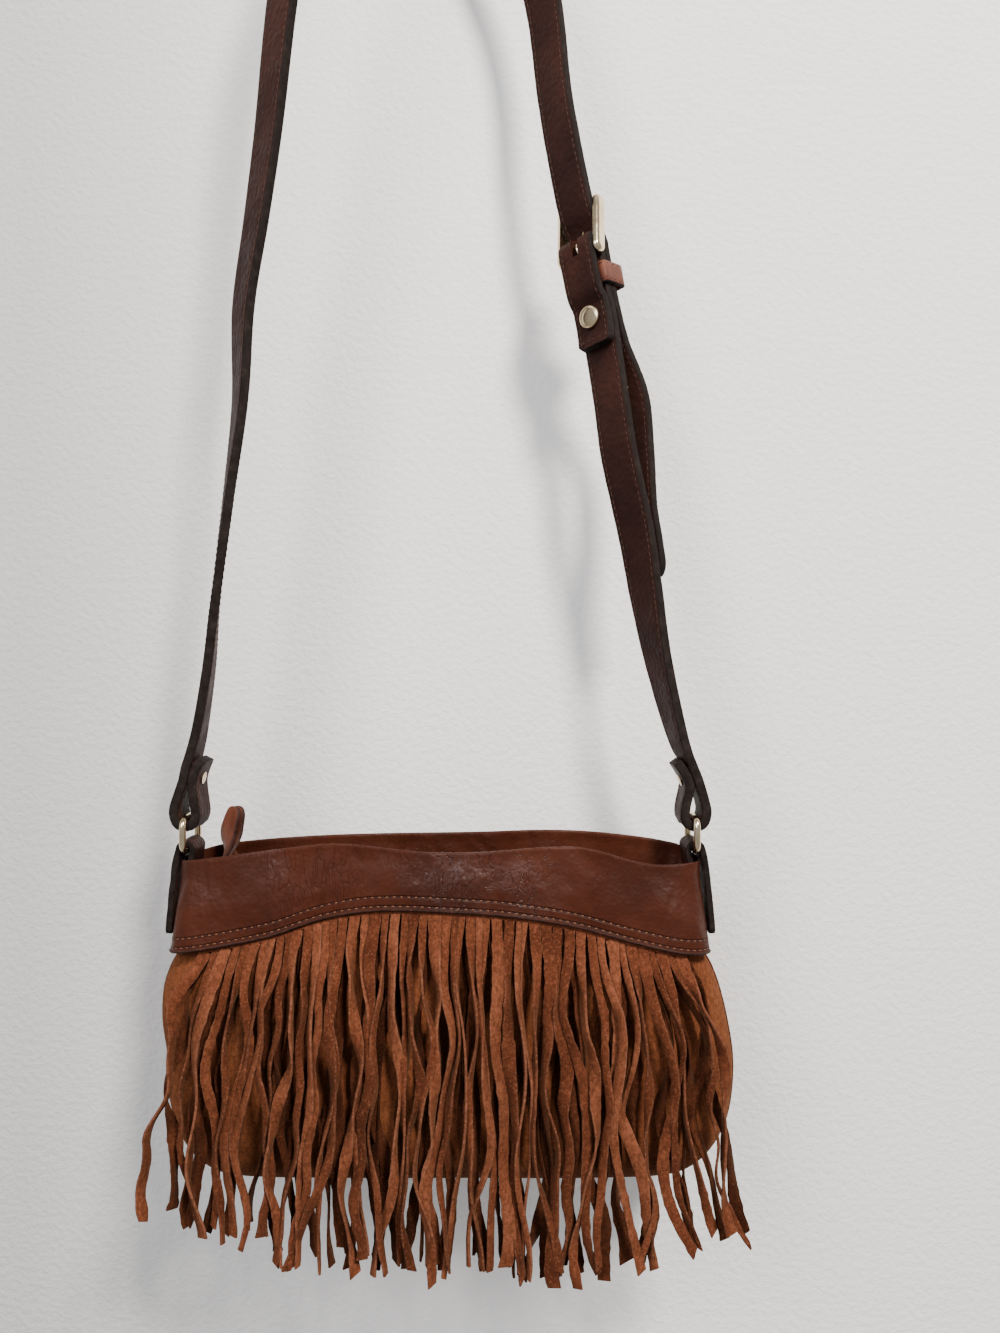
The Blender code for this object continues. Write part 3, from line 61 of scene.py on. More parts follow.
# Routes of the strap's legs, each row from top to bottom or along the strap: offset in x, in y and drop, in
# shares of the strap's drop, and the turn of the broad face in degrees
LEFT_LEG = ((0.0087, 0, 0.922, 4), (0.0183, -0.0036, 0.864, 9), (0.0243, -0.0054, 0.805, 15),
            (0.0372, -0.0091, 0.71, 19), (0.0483, -0.0127, 0.626, 26), (0.0527, -0.0182, 0.544, 36),
            (0.0654, -0.0236, 0.469, 41), (0.0777, -0.0291, 0.39, 45), (0.0912, -0.0363, 0.284, 50),
            (0.1108, -0.0436, 0.17, 52))
RIGHT_UPPER_LEG = ((0.1017, 0.0418, 0.155, 54), (0.1261, 0.0363, 0.235, 52), (0.1379, 0.0272, 0.337, 44))
RIGHT_LOWER_LEG = ((-0.0727, 0.0118, 0.617, 44), (-0.0652, 0.01, 0.671, 48), (-0.0503, 0.0082, 0.741, 46),
                   (-0.0418, 0.0064, 0.794, 37), (-0.0309, 0.0036, 0.858, 22), (-0.0131, 0, 0.93, 9))

# The same for the tail, from the buckle, in shares of its length
TAIL_LENGTH = 0.168
TAIL = ((0.100, 0.048, 0.28, 45), (0.160, 0.052, 0.44, 46), (0.175, 0.045, 0.607, 46),
        (0.18, 0.02, 0.774, 46), (0.197, 0.004, 0.893, 42), (0.213, -0.001, 1, 38))
HOLE_RADIUS = 0.0017
HOLE_PITCH = 0.025
HOLE_COUNT = 4
FIRST_HOLE = 0.020
BUCKLE_FROM_RING = 0.0550
BUCKLE_DEPTH = 0.009
BUCKLE_HEIGHT_SHARE = 0.48047
BUCKLE_TURN = math.radians(48)
STRAP_LEAN = Vector((0.0166, -0.005, -0.092))
BUCKLE_TILT = math.radians(17)
BUCKLE_LENGTH = 0.0335
BUCKLE_SIDE_WIDTH = 0.0080
BUCKLE_SIDE_THICK = 0.0026
BAR_RADIUS = 0.0016
END_BAR_RADIUS = 0.0019
BUCKLE_FOOT = 0.0058
BUCKLE_SIDE_PLAY = 0.0007
PRONG_RADIUS = 0.0011
PRONG_SLOT = 0.0046
FOLD_TAB_LENGTH = 0.0505
STUD_DROP = 0.0356
KEEPER_WALL = 0.0017
KEEPER_HEIGHT = 0.0112
KEEPER_DROP = 0.0148
KEEPER_PLAY = 0.0004
KEEPER_LOOSE = 0.0038
KEEPER_SLIDE = 0.005
KEEPER_COVERS = 0.0125
RING_INSET = 0.0028
RING_BARS = 0.016
RING_WIRE_RADIUS = 0.0017
RING_INSIDE_WIDTH = 0.0216
RING_CORNER = 0.0048
TAB_WIDTH = 0.018
TAB_THICK = 0.0030
TAB_OUTER_LENGTH = 0.041
TAB_INNER_LENGTH = 0.030
SUEDE_THICK = 0.0013
BODY_LAP_DROP = 0.0140
BODY_BOTTOM_DROP = 0.1623
BODY_HALF_WIDTH = 0.1405
BODY_HALF_DEPTH = 0.0262
BODY_SAG = 0.0045

# Share of the body's height from the yoke's level down, half width, half depth, bluntness of its outline, sag
BODY_FORM = ((0.00, 0.912, 0.630, 10.0, 0), (0.17, 0.916, 0.690, 9.0, 0), (0.235, 0.921, 0.740, 8.0, 0),
             (0.30, 0.956, 0.800, 6.5, 0), (0.37, 0.982, 0.860, 5.5, 0.05), (0.48, 0.999, 0.930, 4.5, 0.40),
             (0.61, 1.000, 0.985, 3.7, 1), (0.74, 0.994, 1.000, 3.6, 1), (0.84, 0.967, 0.950, 3.8, 1),
             (0.92, 0.912, 0.790, 4.5, 1), (0.970, 0.845, 0.540, 5.5, 1), (0.993, 0.783, 0.260, 7.0, 1),
             (1.00, 0.757, 0.03, 8.0, 1))

BACK_RIM_RISE = 0.0043
YOKE_EDGE_DROP = 0.0255
YOKE_SWEEP = 0.0228
YOKE_THICK = 0.0016
RIM_HALF_WIDTH = BODY_HALF_WIDTH - 0.0122
YOKE_EDGE_HALF_WIDTH = BODY_HALF_WIDTH - 0.0077
RIM_HALF_DEPTH = 0.0180
MOUTH_BLUNT = 14
YOKE_LAP = 0.009

# Rise of the rims and of the yoke's lower edge along the width, from -1 at the left seam to 1 at the right,
# in shares of the yoke's sweep
FRONT_RIM = ((-1, -0.241), (-0.54, 0.105), (-0.37, 0.175), (-0.06, 0), (0.15, 0), (0.41, 0.105),
             (0.55, 0.083), (0.80, -0.263), (1, -0.241))
BACK_RIM = ((-1, -0.430), (-0.86, -0.250), (-0.45, -0.070), (0.15, 0), (0.43, 0.044), (0.66, -0.026),
            (0.93, -0.241), (1, -0.430))
YOKE_EDGE = ((-1, -0.987), (-0.62, -0.566), (-0.42, -0.190), (-0.22, -0.020), (0.10, -0.075), (0.28, -0.162),
             (0.49, -0.355), (0.70, -0.680), (0.87, -0.908), (1, -1))
STRAND_THICK = 0.0012
FRINGE_HEAD = 0.0080
FRINGE_CUT_DROP = 0.0030
FRINGE_HALF_SPAN = BODY_HALF_WIDTH - 0.0240
FRINGE_SHIFT = 0.0020
FRINGE_SPREAD = 0.0125
FRINGE_LEAN_CURVE = 1.1
FRINGE_FAN = 0.0125
FRINGE_FAN_FROM = 0.66
FRINGE_FAN_RISE = 3.0
FRINGE_FAN_FALL = 0.4
STRAND_LEVEL = 0.0032
FRINGE_TIPS_DROP = 0.1900
FRINGE_TIPS_SWEEP = 0.0200

# Rise of the strands' tips along the width, in shares of the sweep of the tips
FRINGE_TIPS = ((-1, 1), (-0.83, 0.70), (-0.45, 0.15), (0, -0.075), (0.50, -0.275), (0.65, -0.20),
               (0.84, 0.20), (1, 0.65))
ZIP_DROP = 0.0305
ZIP_TAPE_WIDTH = 0.0112
ZIP_TAPE_THICK = 0.0008
ZIP_TEETH_HALF = 0.0010
ZIP_FACING_THICK = 0.0010
ZIP_HALF_LENGTH = RIM_HALF_WIDTH - 0.0243
ZIP_OPEN_FROM = -0.012
ZIP_OPENED_LENGTH = 0.060
ZIP_TAIL_RISE = 0.0250
SLIDER_LENGTH = 0.0110
END_TAB_WIDTH = 0.024
END_TAB_TIP_WIDTH = 0.009
END_TAB_THICK = 0.0044
END_TAB_LENGTH = 0.036
END_TAB_LAP = 0.0100
END_TAB_BESIDE = 0.0020

# Share of the end tab's length, shift in x in the same share, turn in degrees
END_TAB_ROUTE = ((0, 0, 0), (0.31, 0, 4), (0.48, 0.004, 26), (0.68, 0.035, 42), (1, 0.115, 48))

RING_X = RIM_HALF_WIDTH - RING_INSET
TOP_BAR_Z = -STRAP_DROP
LOW_BAR_Z = TOP_BAR_Z - RING_BARS
LEFT_TOP_BAR = Vector((BAG_X - RING_X, 0, TOP_BAR_Z))
RIGHT_TOP_BAR = Vector((BAG_X + RING_X, 0, TOP_BAR_Z))
BUCKLE_RISE = STRAP_DROP * (1 - BUCKLE_HEIGHT_SHARE)
BUCKLE_AT = RIGHT_TOP_BAR + Vector((-BUCKLE_FROM_RING, BUCKLE_DEPTH, BUCKLE_RISE))
FITTINGS = (("left", LEFT_TOP_BAR, -1, LEFT_SLANT), ("right", RIGHT_TOP_BAR, 1, RIGHT_SLANT))
RIM_Z = LOW_BAR_Z
YOKE_EDGE_Z = RIM_Z - YOKE_EDGE_DROP
BODY_TOP_Z = RIM_Z - BODY_LAP_DROP
BODY_BOTTOM_Z = RIM_Z - BODY_BOTTOM_DROP
FRINGE_STACK = 2 * (STRAND_THICK + GAP)
ZIP_Z = RIM_Z - ZIP_DROP

# Thread
STITCH_PITCH = 0.00345
STITCH_LENGTH = 0.0026
STITCH_RADIUS = 0.00027
STRAP_STITCH_INSET = 0.0021
YOKE_LOW_ROW = 0.0016
YOKE_HIGH_ROW = 0.0060

# Where the yoke's leather is wrinkled and where it is creased
WRINKLES_AT = -0.025
CREASES_AT = 0.055

# The straps at the buckle, measured from its hinge bar
UNDER_END_BAR = (-0.0012, 0.0010)
LONG_STRAP_THREAD = ((0.0019, 0.0141), (0.0074, 0.0064))
OVER_BAR_HEIGHTS = (0.0005, -0.0050, -0.0120, -0.0240)
SHORT_STRAP_HEIGHTS = (-0.0120, -0.0260, -STUD_DROP - 0.0050)
FOLD_PLY_BEND = (0.0006, 0.0232, 0.0100)
FOLD_TIP_GAPE = 0.0016
FOLD_STUD_ENDS = (-0.0065, 0.0060)
PRONG_EYE_START = -60
PRONG_EYE_STEP = 10
PRONG_EYE_STEPS = 24
PRONG_REST_SHARE = 0.6
PRONG_PLAY = 0.0005
PRONG_HOLE_SHARE = 0.72
PRONG_SLOT_RISE = 0.0020
PRONG_SLOT_LENGTH = 0.0125
STRAP_RIPPLE = 0.00010
TIP_CORNER = 0.0035
FOLD_ENDS = 0.0040
FOLD_STARTS = 0.0030
FOLD_END_GAPE = 0.0012

# The side tabs
TAB_MIDDLE_SHARE = 0.60
TAB_MIDDLE_BULGE = 0.0003
TAB_OUTER_BEND_DROP = 0.0080
TAB_OUTER_BULGE = 0.0002
TAB_INNER_PLAY = 0.0018
TAB_INNER_BEND = 0.0016
TAB_INNER_BEND_DROP = 0.0090
TAB_RIPPLE = 0.00035

# The keeper's corners and stitches
KEEPER_CORNER = 0.0012
KEEPER_STITCH_PITCH = 0.0031
KEEPER_STITCH = (0.0022, 0.0003)
KEEPER_ROWS = (-0.36, 0.36)
KEEPER_SECTION = ((-0.5, 0.30, 1), (-0.46, 0.5, 0), (-0.2, 0.5, 0), (0.2, 0.5, 0), (0.46, 0.5, 1),
                  (0.5, 0.30, 1), (0.5, -0.5, 0), (-0.5, -0.5, 1))

# Half width of the buckle's side plates in shares, and how far out of their middle, in half thicknesses
PLATE_SECTION = ((1.0, -1.0), (1.0, -0.55), (0.97, -0.2), (0.88, 0.35), (0.70, 0.72), (0.35, 0.95))

# The stud's and the rivets' turned heads, radius and height, and their shanks, with height from the far end
STUD_HEAD = ((0, 0.00128), (0.0030, 0.00126), (0.0041, 0.0011), (0.0045, 0.00098), (0.00475, 0.00118),
             (0.00515, 0.00150), (0.0055, 0.00140), (0.00575, 0.0009), (0.00575, 0.00015), (0.0054, 0.00001),
             (0.0016, 0.0))
STUD_FOOT = ((0.0016, 0), (0.0031, 0), (0.0031, -0.0004), (0, -0.0005))
RIVET_HEAD = ((0, 0.0011), (0.0012, 0.00107), (0.0022, 0.0009), (0.0030, 0.00055), (0.0034, 0.00015),
              (0.0034, 0), (0.0013, 0))
RIVET_FOOT = ((0.0013, 0), (0.00306, 0), (0.00306, -0.0002), (0.0024, -0.0005), (0, -0.00066))

# The yoke's shell
YOKE_FADE = 12
YOKE_RIM_EXTRA = 0.0006
YOKE_RIM_ROLL = 0.0009
YOKE_RIM_REACH = 0.004
YOKE_THREAD_LIFT = 0.00004
YOKE_STITCH_LENGTH = 0.0020
YOKE_HOLE_LENGTH = 0.0013
YOKE_HOLE_RADIUS = 0.00040
EDGE_BEAD_RADIUS = 0.00075
SEAM_RADIUS = 0.0009

# Each layer of the fringe: name, node, seed of its chance, strands, share of its room that a strand fills,
# depth of its head, level of its strands and how fast they rise to it, look
FRINGE_LEVEL = 0.0026
STRAND_MAX_WIDTH = 0.0060
STRAND_STEPS = 54
FRINGE_LAYERS = (
    # The back layer takes a darker copy of the strands' suede, as painted shade behind the front layer.
    ("fringe_back_layer", "fringe_under", 5, 38, 0.96, GAP, FRINGE_LEVEL, 3.2, "suede_under"),
    ("fringe_front_layer", "fringe_front", 11, 50, 0.92, 2 * GAP + STRAND_THICK,
     FRINGE_LEVEL + 2 * STRAND_LEVEL, 5.5, "suede_strand"),
)

# The zip's tape from its left end to the closed run: offset from the left end, rise, direction in x and z
ZIP_LEFT_INSET = 0.004
ZIP_TAIL_ROUTE = ((-0.0060, ZIP_TAIL_RISE, 1, 0.1), (-0.0058, 0.0130, 1, 0.2), (-0.0015, 0.0045, 0.7, 0.7),
                  (0.0070, 0.0005, 0, 1), (0.0180, 0, 0, 1))
ZIP_LEAN = math.radians(75)
TOOTH_PITCH = 0.0011
TOOTH_HALF = (0.0006, 0.0007, 0.0008)
TOOTH_PAST_TAPE = 0.0002
END_TAB_GAPE = 0.00025
END_TAB_BULGE = 0.0005

# Lights: name, place, what they look at, size, power, colour
LIGHTS = (
    ("key", (0.75, -1.35, 0.85), (0.03, 0, -0.55), 0.42, 74, (1.0, 0.96, 0.91)),
    ("fill", (-0.9, -1.5, 0.3), (0.02, 0, -0.6), 1.0, 26, (0.97, 0.97, 1.0)),
)
SKY_COLOUR = (0.95, 0.97, 1.0, 1)
SKY_STRENGTH = 0.40
WALL_AT = (0.05, 0.062, -0.5)
WALL_SIZE = 9
CAMERA_AT = (0.0473, -0.5005, -0.476)
CAMERA_LENS = 27.03

COLLECTION = bpy.context.scene.collection


# Shader helpers

class Shader:
    """A material's node tree with short calls for the few node kinds used here."""

    def __init__(self, name):
        self.material = bpy.data.materials.new(name)
        self.material.use_nodes = True
        self.tree = self.material.node_tree
        self.bsdf = self.tree.nodes["Principled BSDF"]

    def node(self, kind, **settings):
        made = self.tree.nodes.new(kind)
        for key, value in settings.items():
            setattr(made, key, value)
        return made

    def put(self, socket, value):
        if isinstance(value, bpy.types.NodeSocket):
            self.tree.links.new(value, socket)
        else:
            socket.default_value = value

    def coords(self):
        return self.node("ShaderNodeTexCoord").outputs["Object"]

    def uv_parts(self):
        return self.split(self.node("ShaderNodeUVMap").outputs["UV"])

    def attribute(self, name):
        return self.node("ShaderNodeAttribute", attribute_name=name).outputs["Fac"]

    def scaled(self, vector, scale):
        made = self.node("ShaderNodeMapping")
        self.put(made.inputs["Vector"], vector)
        made.inputs["Scale"].default_value = scale
        return made.outputs["Vector"]

    def noise(self, vector, scale, detail=3.0, rough=0.5, distortion=0.0):
        made = self.node("ShaderNodeTexNoise")
        self.put(made.inputs["Vector"], vector)
        made.inputs["Scale"].default_value = scale
        made.inputs["Detail"].default_value = detail
        made.inputs["Roughness"].default_value = rough
        made.inputs["Distortion"].default_value = distortion
        return made.outputs["Fac"]

    def cells(self, vector, scale, feature="F1", output="Distance", randomness=1.0):
        made = self.node("ShaderNodeTexVoronoi", feature=feature)
        self.put(made.inputs["Vector"], vector)
        made.inputs["Scale"].default_value = scale
        made.inputs["Randomness"].default_value = randomness
        return made.outputs[output]

    def ramp(self, value, stops, smooth=False):
        made = self.node("ShaderNodeValToRGB")
        self.put(made.inputs["Fac"], value)
        ramp = made.color_ramp
        if smooth:
            ramp.interpolation = "EASE"
        while len(ramp.elements) < len(stops):
            ramp.elements.new(0.5)
        for element, (position, colour) in zip(ramp.elements, stops):
            element.position = position
            element.color = (*colour, 1) if len(colour) == 3 else colour
        return made.outputs["Color"]

    def math(self, operation, *values):
        made = self.node("ShaderNodeMath", operation=operation)
        for socket, value in zip(made.inputs, values):
            self.put(socket, value)
        return made.outputs["Value"]

    def times(self, first, second):
        return self.math("MULTIPLY", first, second)

    def near(self, value, centre, low, high, to_low=1.0, to_high=0.0):
        """Remaps how far a value is from a centre: strongest there unless told otherwise."""
        away = self.math("ABSOLUTE", self.math("SUBTRACT", value, centre))
        return self.remap(away, low, high, to_low, to_high)

    def remap(self, value, low, high, to_low=0.0, to_high=1.0):
        made = self.node("ShaderNodeMapRange")
        self.put(made.inputs["Value"], value)
        for name, number in (("From Min", low), ("From Max", high), ("To Min", to_low), ("To Max", to_high)):
            made.inputs[name].default_value = number
        return made.outputs["Result"]

    def mix(self, share, first, second, blend="MIX"):
        made = self.node("ShaderNodeMix", data_type="RGBA", blend_type=blend)
        self.put(made.inputs["Factor"], share)
        for socket, value in ((made.inputs["A"], first), (made.inputs["B"], second)):
            self.put(socket, (*value, 1) if isinstance(value, tuple) and len(value) == 3 else value)
        return made.outputs["Result"]

    def split(self, vector):
        made = self.node("ShaderNodeSeparateXYZ")
        self.put(made.inputs["Vector"], vector)
        return made.outputs

    def bump(self, height, distance, strength=1.0, below=None):
        made = self.node("ShaderNodeBump")
        made.inputs["Strength"].default_value = strength
        made.inputs["Distance"].default_value = distance
        self.put(made.inputs["Height"], height)
        if below is not None:
            self.put(made.inputs["Normal"], below)
        return made.outputs["Normal"]

    def set(self, **inputs):
        names = {"colour": "Base Color", "rough": "Roughness", "metal": "Metallic", "normal": "Normal",
                 "specular": "Specular IOR Level", "coat": "Coat Weight", "coat_rough": "Coat Roughness",
                 "sheen": "Sheen Weight", "sheen_rough": "Sheen Roughness", "sheen_tint": "Sheen Tint"}
        for key, value in inputs.items():
            self.put(self.bsdf.inputs[names[key]], value)
        return self.material


def grain_bump(s, place, scale, depth):
    """Pebbled leather: rounded cells with fine pores."""
    cell = s.cells(place, scale, "SMOOTH_F1")
    pore = s.noise(place, scale * 3.2, 2.0, 0.6)
    height = s.math("SUBTRACT", 1.0, cell)
    height = s.math("ADD", height, s.times(pore, 0.35))
    return s.bump(height, depth)


def yoke_creases(s, place):
    """Fine upright wrinkles at the left and a net of creases at the right; also where the net lies."""
    wander = s.node("ShaderNodeTexNoise")
    s.put(wander.inputs["Vector"], place)
    wander.inputs["Scale"].default_value = 60
    wavy = s.mix(0.006, place, wander.outputs["Color"])
    along_x = s.split(place)["X"]
    lines = s.noise(s.scaled(wavy, (1.0, 1.0, 0.16)), 300, 2.0, 0.5, 0.5)
    from_left = s.near(along_x, WRINKLES_AT - BAG_X, 0.045, 0.085)
    wrinkled = s.times(s.remap(s.noise(place, 26, 2.0, 0.5), 0.44, 0.60), from_left)
    wrinkles = s.times(s.times(s.near(lines, 0.5, 0.0, 0.050), wrinkled), 0.60)
    bent = s.noise(s.scaled(wavy, (1.0, 1.0, 0.7)), 170, 2.0, 0.5, 1.2)
    patches = s.noise(s.scaled(place, (1.0, 1.0, 1.6)), 30, 2.0, 0.5)
    netted = s.times(s.remap(patches, 0.42, 0.58), s.near(along_x, CREASES_AT - BAG_X, 0.015, 0.045))
    net = s.times(s.near(bent, 0.5, 0.0, 0.030), netted)
    return s.math("MAXIMUM", wrinkles, net), netted


def yoke_leather():
    """Smooth reddish-brown leather: clouds, glossy pebbles in places, creases and pressed seams with painted
    shade in them.
    """
    s = Shader("yoke_leather")
    place = s.coords()
    cloud = s.noise(place, 17, 4.0, 0.6)
    fine = s.noise(place, 260, 4.0, 0.65)
    base = s.ramp(cloud, [(0.30, (0.034, 0.0086, 0.0042)), (0.52, (0.053, 0.0137, 0.0066)),
                          (0.75, (0.078, 0.0218, 0.0104))])
    base = s.mix(s.remap(fine, 0.38, 0.72, 0.0, 0.35), base, (0.028, 0.0075, 0.0045))
    crease, netted = yoke_creases(s, place)
    # Painted shade in the wrinkles and creases.
    base = s.mix(s.times(crease, 0.35), base, (0.024, 0.0068, 0.0042))
    height = s.uv_parts()["Y"]
    seam = s.math("MAXIMUM", *(s.near(height, row, 0.0, 0.0009) for row in (YOKE_LOW_ROW, YOKE_HIGH_ROW)))
    # Painted shade along the pressed stitch rows.
    base = s.mix(s.times(seam, 0.62), base, (0.014, 0.0045, 0.0030))
    shiny = s.math("MAXIMUM", s.remap(s.noise(place, 21, 2.0, 0.5), 0.48, 0.64), netted)
    pebble = grain_bump(s, place, 560, 0.00020)
    folds = s.bump(s.math("SUBTRACT", 1.0, crease), 0.00034, 0.9, pebble)
    pressed = s.bump(s.math("SUBTRACT", 1.0, seam), 0.00055, 1.0, folds)
    soft = s.bump(s.noise(s.scaled(place, (1.3, 1.0, 0.8)), 42, 2.0, 0.5, 0.6), 0.0030, 0.9, pressed)
    rough = s.math("SUBTRACT", s.remap(fine, 0.3, 0.7, 0.42, 0.54), s.times(shiny, 0.12))
    return s.set(colour=base, rough=rough, normal=soft, specular=s.math("ADD", 0.07, s.times(shiny, 0.15)))


def strap_leather():
    """Dark brown pebbled leather, deeper in grain than the yoke's, with the stitched lines pressed in and
    painted shade in them.
    """
    s = Shader("strap_leather")
    place = s.coords()
    cloud = s.noise(place, 22, 4.0, 0.6)
    base = s.ramp(cloud, [(0.30, (0.015, 0.0055, 0.0042)), (0.55, (0.028, 0.0098, 0.0070)),
                          (0.80, (0.048, 0.0165, 0.0110))])
    uv = s.uv_parts()
    across = s.math("ABSOLUTE", uv["Y"])
    groove = s.near(across, STRAP_WIDTH / 2 - STRAP_STITCH_INSET, 0.0, 0.0007)
    step = s.math("FRACT", s.math("DIVIDE", uv["X"], STITCH_PITCH))
    prick_shade = s.times(s.near(step, 0.5, 0.36, 0.5, 0.0, 1.0), groove)
    # Painted shade in the pressed stitch grooves, and darker painted shade in the stitch holes between the
    # stitches.
    base = s.mix(s.times(groove, 0.35), base, (0.020, 0.008, 0.006))
    base = s.mix(prick_shade, base, (0.008, 0.004, 0.003))
    rim = s.remap(across, STRAP_WIDTH / 2 - 0.0012, STRAP_WIDTH / 2 - 0.0003, 0.0, 0.5)
    base = s.mix(rim, base, (0.052, 0.020, 0.013))
    stretched = s.scaled(place, (1.0, 1.0, 0.75))
    pebble = grain_bump(s, stretched, 480, 0.00046)
    pressed = s.bump(s.math("SUBTRACT", 1.0, groove), 0.00030, 0.9, pebble)
    rough = s.remap(s.noise(place, 90, 3.0), 0.3, 0.7, 0.46, 0.62)
    return s.set(colour=base, rough=rough, normal=pressed, specular=0.07)


def strap_edge():
    """The strap's cut edge: layers of leather under grey-brown edge paint, worn a little."""
    s = Shader("strap_edge_paint")
    place = s.coords()
    worn = s.noise(place, 260, 4.0, 0.65)
    base = s.ramp(worn, [(0.32, (0.0090, 0.0062, 0.0054)), (0.55, (0.0165, 0.0118, 0.0102)),
                         (0.80, (0.034, 0.0240, 0.0200))])
    rough = s.remap(worn, 0.3, 0.7, 0.6, 0.85)
    rough_cut = s.bump(s.noise(place, 420, 4.0, 0.7), 0.00018)
    return s.set(colour=base, rough=rough, normal=rough_cut, specular=0.05)


def keeper_leather():
    """Lighter tan leather of the keeper and the zip's end tab."""
    s = Shader("keeper_leather")
    place = s.coords()
    cloud = s.noise(place, 70, 4.0, 0.6)
    base = s.ramp(cloud, [(0.30, (0.080, 0.0240, 0.0140)), (0.55, (0.140, 0.0450, 0.0260)),
                          (0.80, (0.205, 0.0740, 0.0430))])
    pebble = grain_bump(s, place, 700, 0.00010)
    rough = s.remap(s.noise(place, 150, 3.0), 0.3, 0.7, 0.36, 0.5)
    return s.set(colour=base, rough=rough, normal=pebble, specular=0.12)


def suede(name, dark, middle, light, lift=1.0):
    """Brushed nap: patches where it lies lighter or darker, short fibres, a velvety sheen."""
    s = Shader(name)
    place = s.coords()
    tone = s.attribute("tone")
    patch = s.noise(s.scaled(place, (1.0, 1.0, 0.55)), 70, 4.0, 0.65, 0.6)
    fibre = s.noise(s.scaled(place, (1.0, 1.0, 0.6)), 620, 4.0, 0.85)
    share = s.math("ADD", s.times(patch, 0.60), s.times(tone, 0.40))
    base = s.ramp(share, [(0.24, dark), (0.50, middle), (0.78, light)])
    base = s.mix(s.remap(fibre, 0.40, 0.60, 0.0, 0.66), base, tuple(c * 0.34 for c in middle))
    tuft = s.noise(place, 800, 3.0, 0.75)
    base = s.mix(s.remap(tuft, 0.52, 0.66, 0.0, 0.34 * lift), base, tuple(min(1.0, c * 1.35) for c in light))
    nap = s.bump(fibre, 0.00040, 1.0)
    nap = s.bump(s.noise(place, 300, 3.0, 0.65), 0.00060, 0.8, nap)
    return s.set(colour=base, rough=0.95, normal=nap, specular=0.03, sheen=0.07, sheen_rough=0.5,
                 sheen_tint=(0.95, 0.55, 0.30, 1))


def thread(name, colour, shade):
    """Sewing thread with a fine ply."""
    s = Shader(name)
    place = s.coords()
    ply = s.noise(place, 2600, 2.0, 0.6)
    base = s.mix(s.remap(ply, 0.35, 0.7), colour, shade)
    return s.set(colour=base, rough=0.7, normal=s.bump(ply, 0.00010), specular=0.3)


def gold():
    """Pale gold plating with fine wiping marks."""
    s = Shader("pale_gold")
    place = s.coords()
    mark = s.noise(s.scaled(place, (1.0, 1.0, 0.35)), 900, 3.0, 0.6)
    smear = s.noise(place, 130, 3.0, 0.5)
    base = s.ramp(smear, [(0.30, (0.66, 0.50, 0.30)), (0.55, (0.80, 0.65, 0.43)), (0.80, (0.88, 0.77, 0.58))])
    rough = s.remap(mark, 0.3, 0.75, 0.13, 0.27)
    return s.set(colour=base, rough=rough, metal=1.0, normal=s.bump(smear, 0.00006, 0.5))


def bronze():
    """Tarnished metal of the zip's teeth."""
    s = Shader("zip_bronze")
    place = s.coords()
    tarnish = s.noise(place, 420, 3.0, 0.6)
    base = s.ramp(tarnish, [(0.3, (0.16, 0.10, 0.05)), (0.7, (0.46, 0.33, 0.18))])
    return s.set(colour=base, rough=s.remap(tarnish, 0.3, 0.7, 0.28, 0.5), metal=1.0)


def cloth(name, dark, light):
    """Woven cloth: crossing threads with slubs."""
    s = Shader(name)
    place = s.coords()
    parts = s.split(place)
    rows, columns = (s.math("SINE", s.times(parts[axis], 9000)) for axis in ("X", "Z"))
    weave = s.times(rows, columns)
    slub = s.noise(place, 240, 3.0, 0.6)
    base = s.ramp(slub, [(0.3, dark), (0.7, light)])
    return s.set(colour=base, rough=0.9, normal=s.bump(weave, 0.00008), specular=0.2, sheen=0.1)


def plaster():
    """The pale backdrop, darker at the left as painted shade and lifted a little by a painted glow where the
    camera sees it.
    """
    s = Shader("backdrop")
    place = s.coords()
    pick = s.noise(place, 3.0, 2.0)
    across = s.split(place)["X"]
    # Share of painted light across the wall: painted shade at the left, full light toward the right.
    light = s.remap(across, -0.030, -0.006)
    base = s.mix(light, (0.58, 0.568, 0.552), (0.93, 0.902, 0.875))
    base = s.mix(s.remap(pick, 0.3, 0.7, 0.0, 0.06), base, (0.56, 0.55, 0.54))
    s.put(s.bsdf.inputs["Emission Color"], base)
    # Painted glow: the lit side of the wall shines a little, for camera rays only.
    seen = s.node("ShaderNodeLightPath").outputs["Is Camera Ray"]
    s.put(s.bsdf.inputs["Emission Strength"], s.times(seen, s.remap(light, 0.0, 1.0, 0.0, 0.10)))
    peel = s.noise(place, 2600, 3.0, 0.55)
    return s.set(colour=base, rough=0.85, normal=s.bump(peel, 0.0012, 0.8), specular=0.12)


# Curves and paths

def catmull(a, b, c, d, t):
    """A point between b and c on the smooth curve through a, b, c and d."""
    square = (2 * a - 5 * b + 4 * c - d) * t * t
    return 0.5 * ((2 * b) + (c - a) * t + square + (3 * b - a - 3 * c + d) * t * t * t)


def smooth_path(stations, steps):
    path = []
    last = len(stations) - 1
    for i in range(last):
        around = [stations[max(0, min(last, i + k))] for k in (-1, 0, 1, 2)]
        for step in range(steps):
            t = step / steps
            point = catmull(*(a[0] for a in around), t)
            path.append((point, around[1][1].lerp(around[2][1], t).normalized()))
    path.append(stations[-1])
    return path


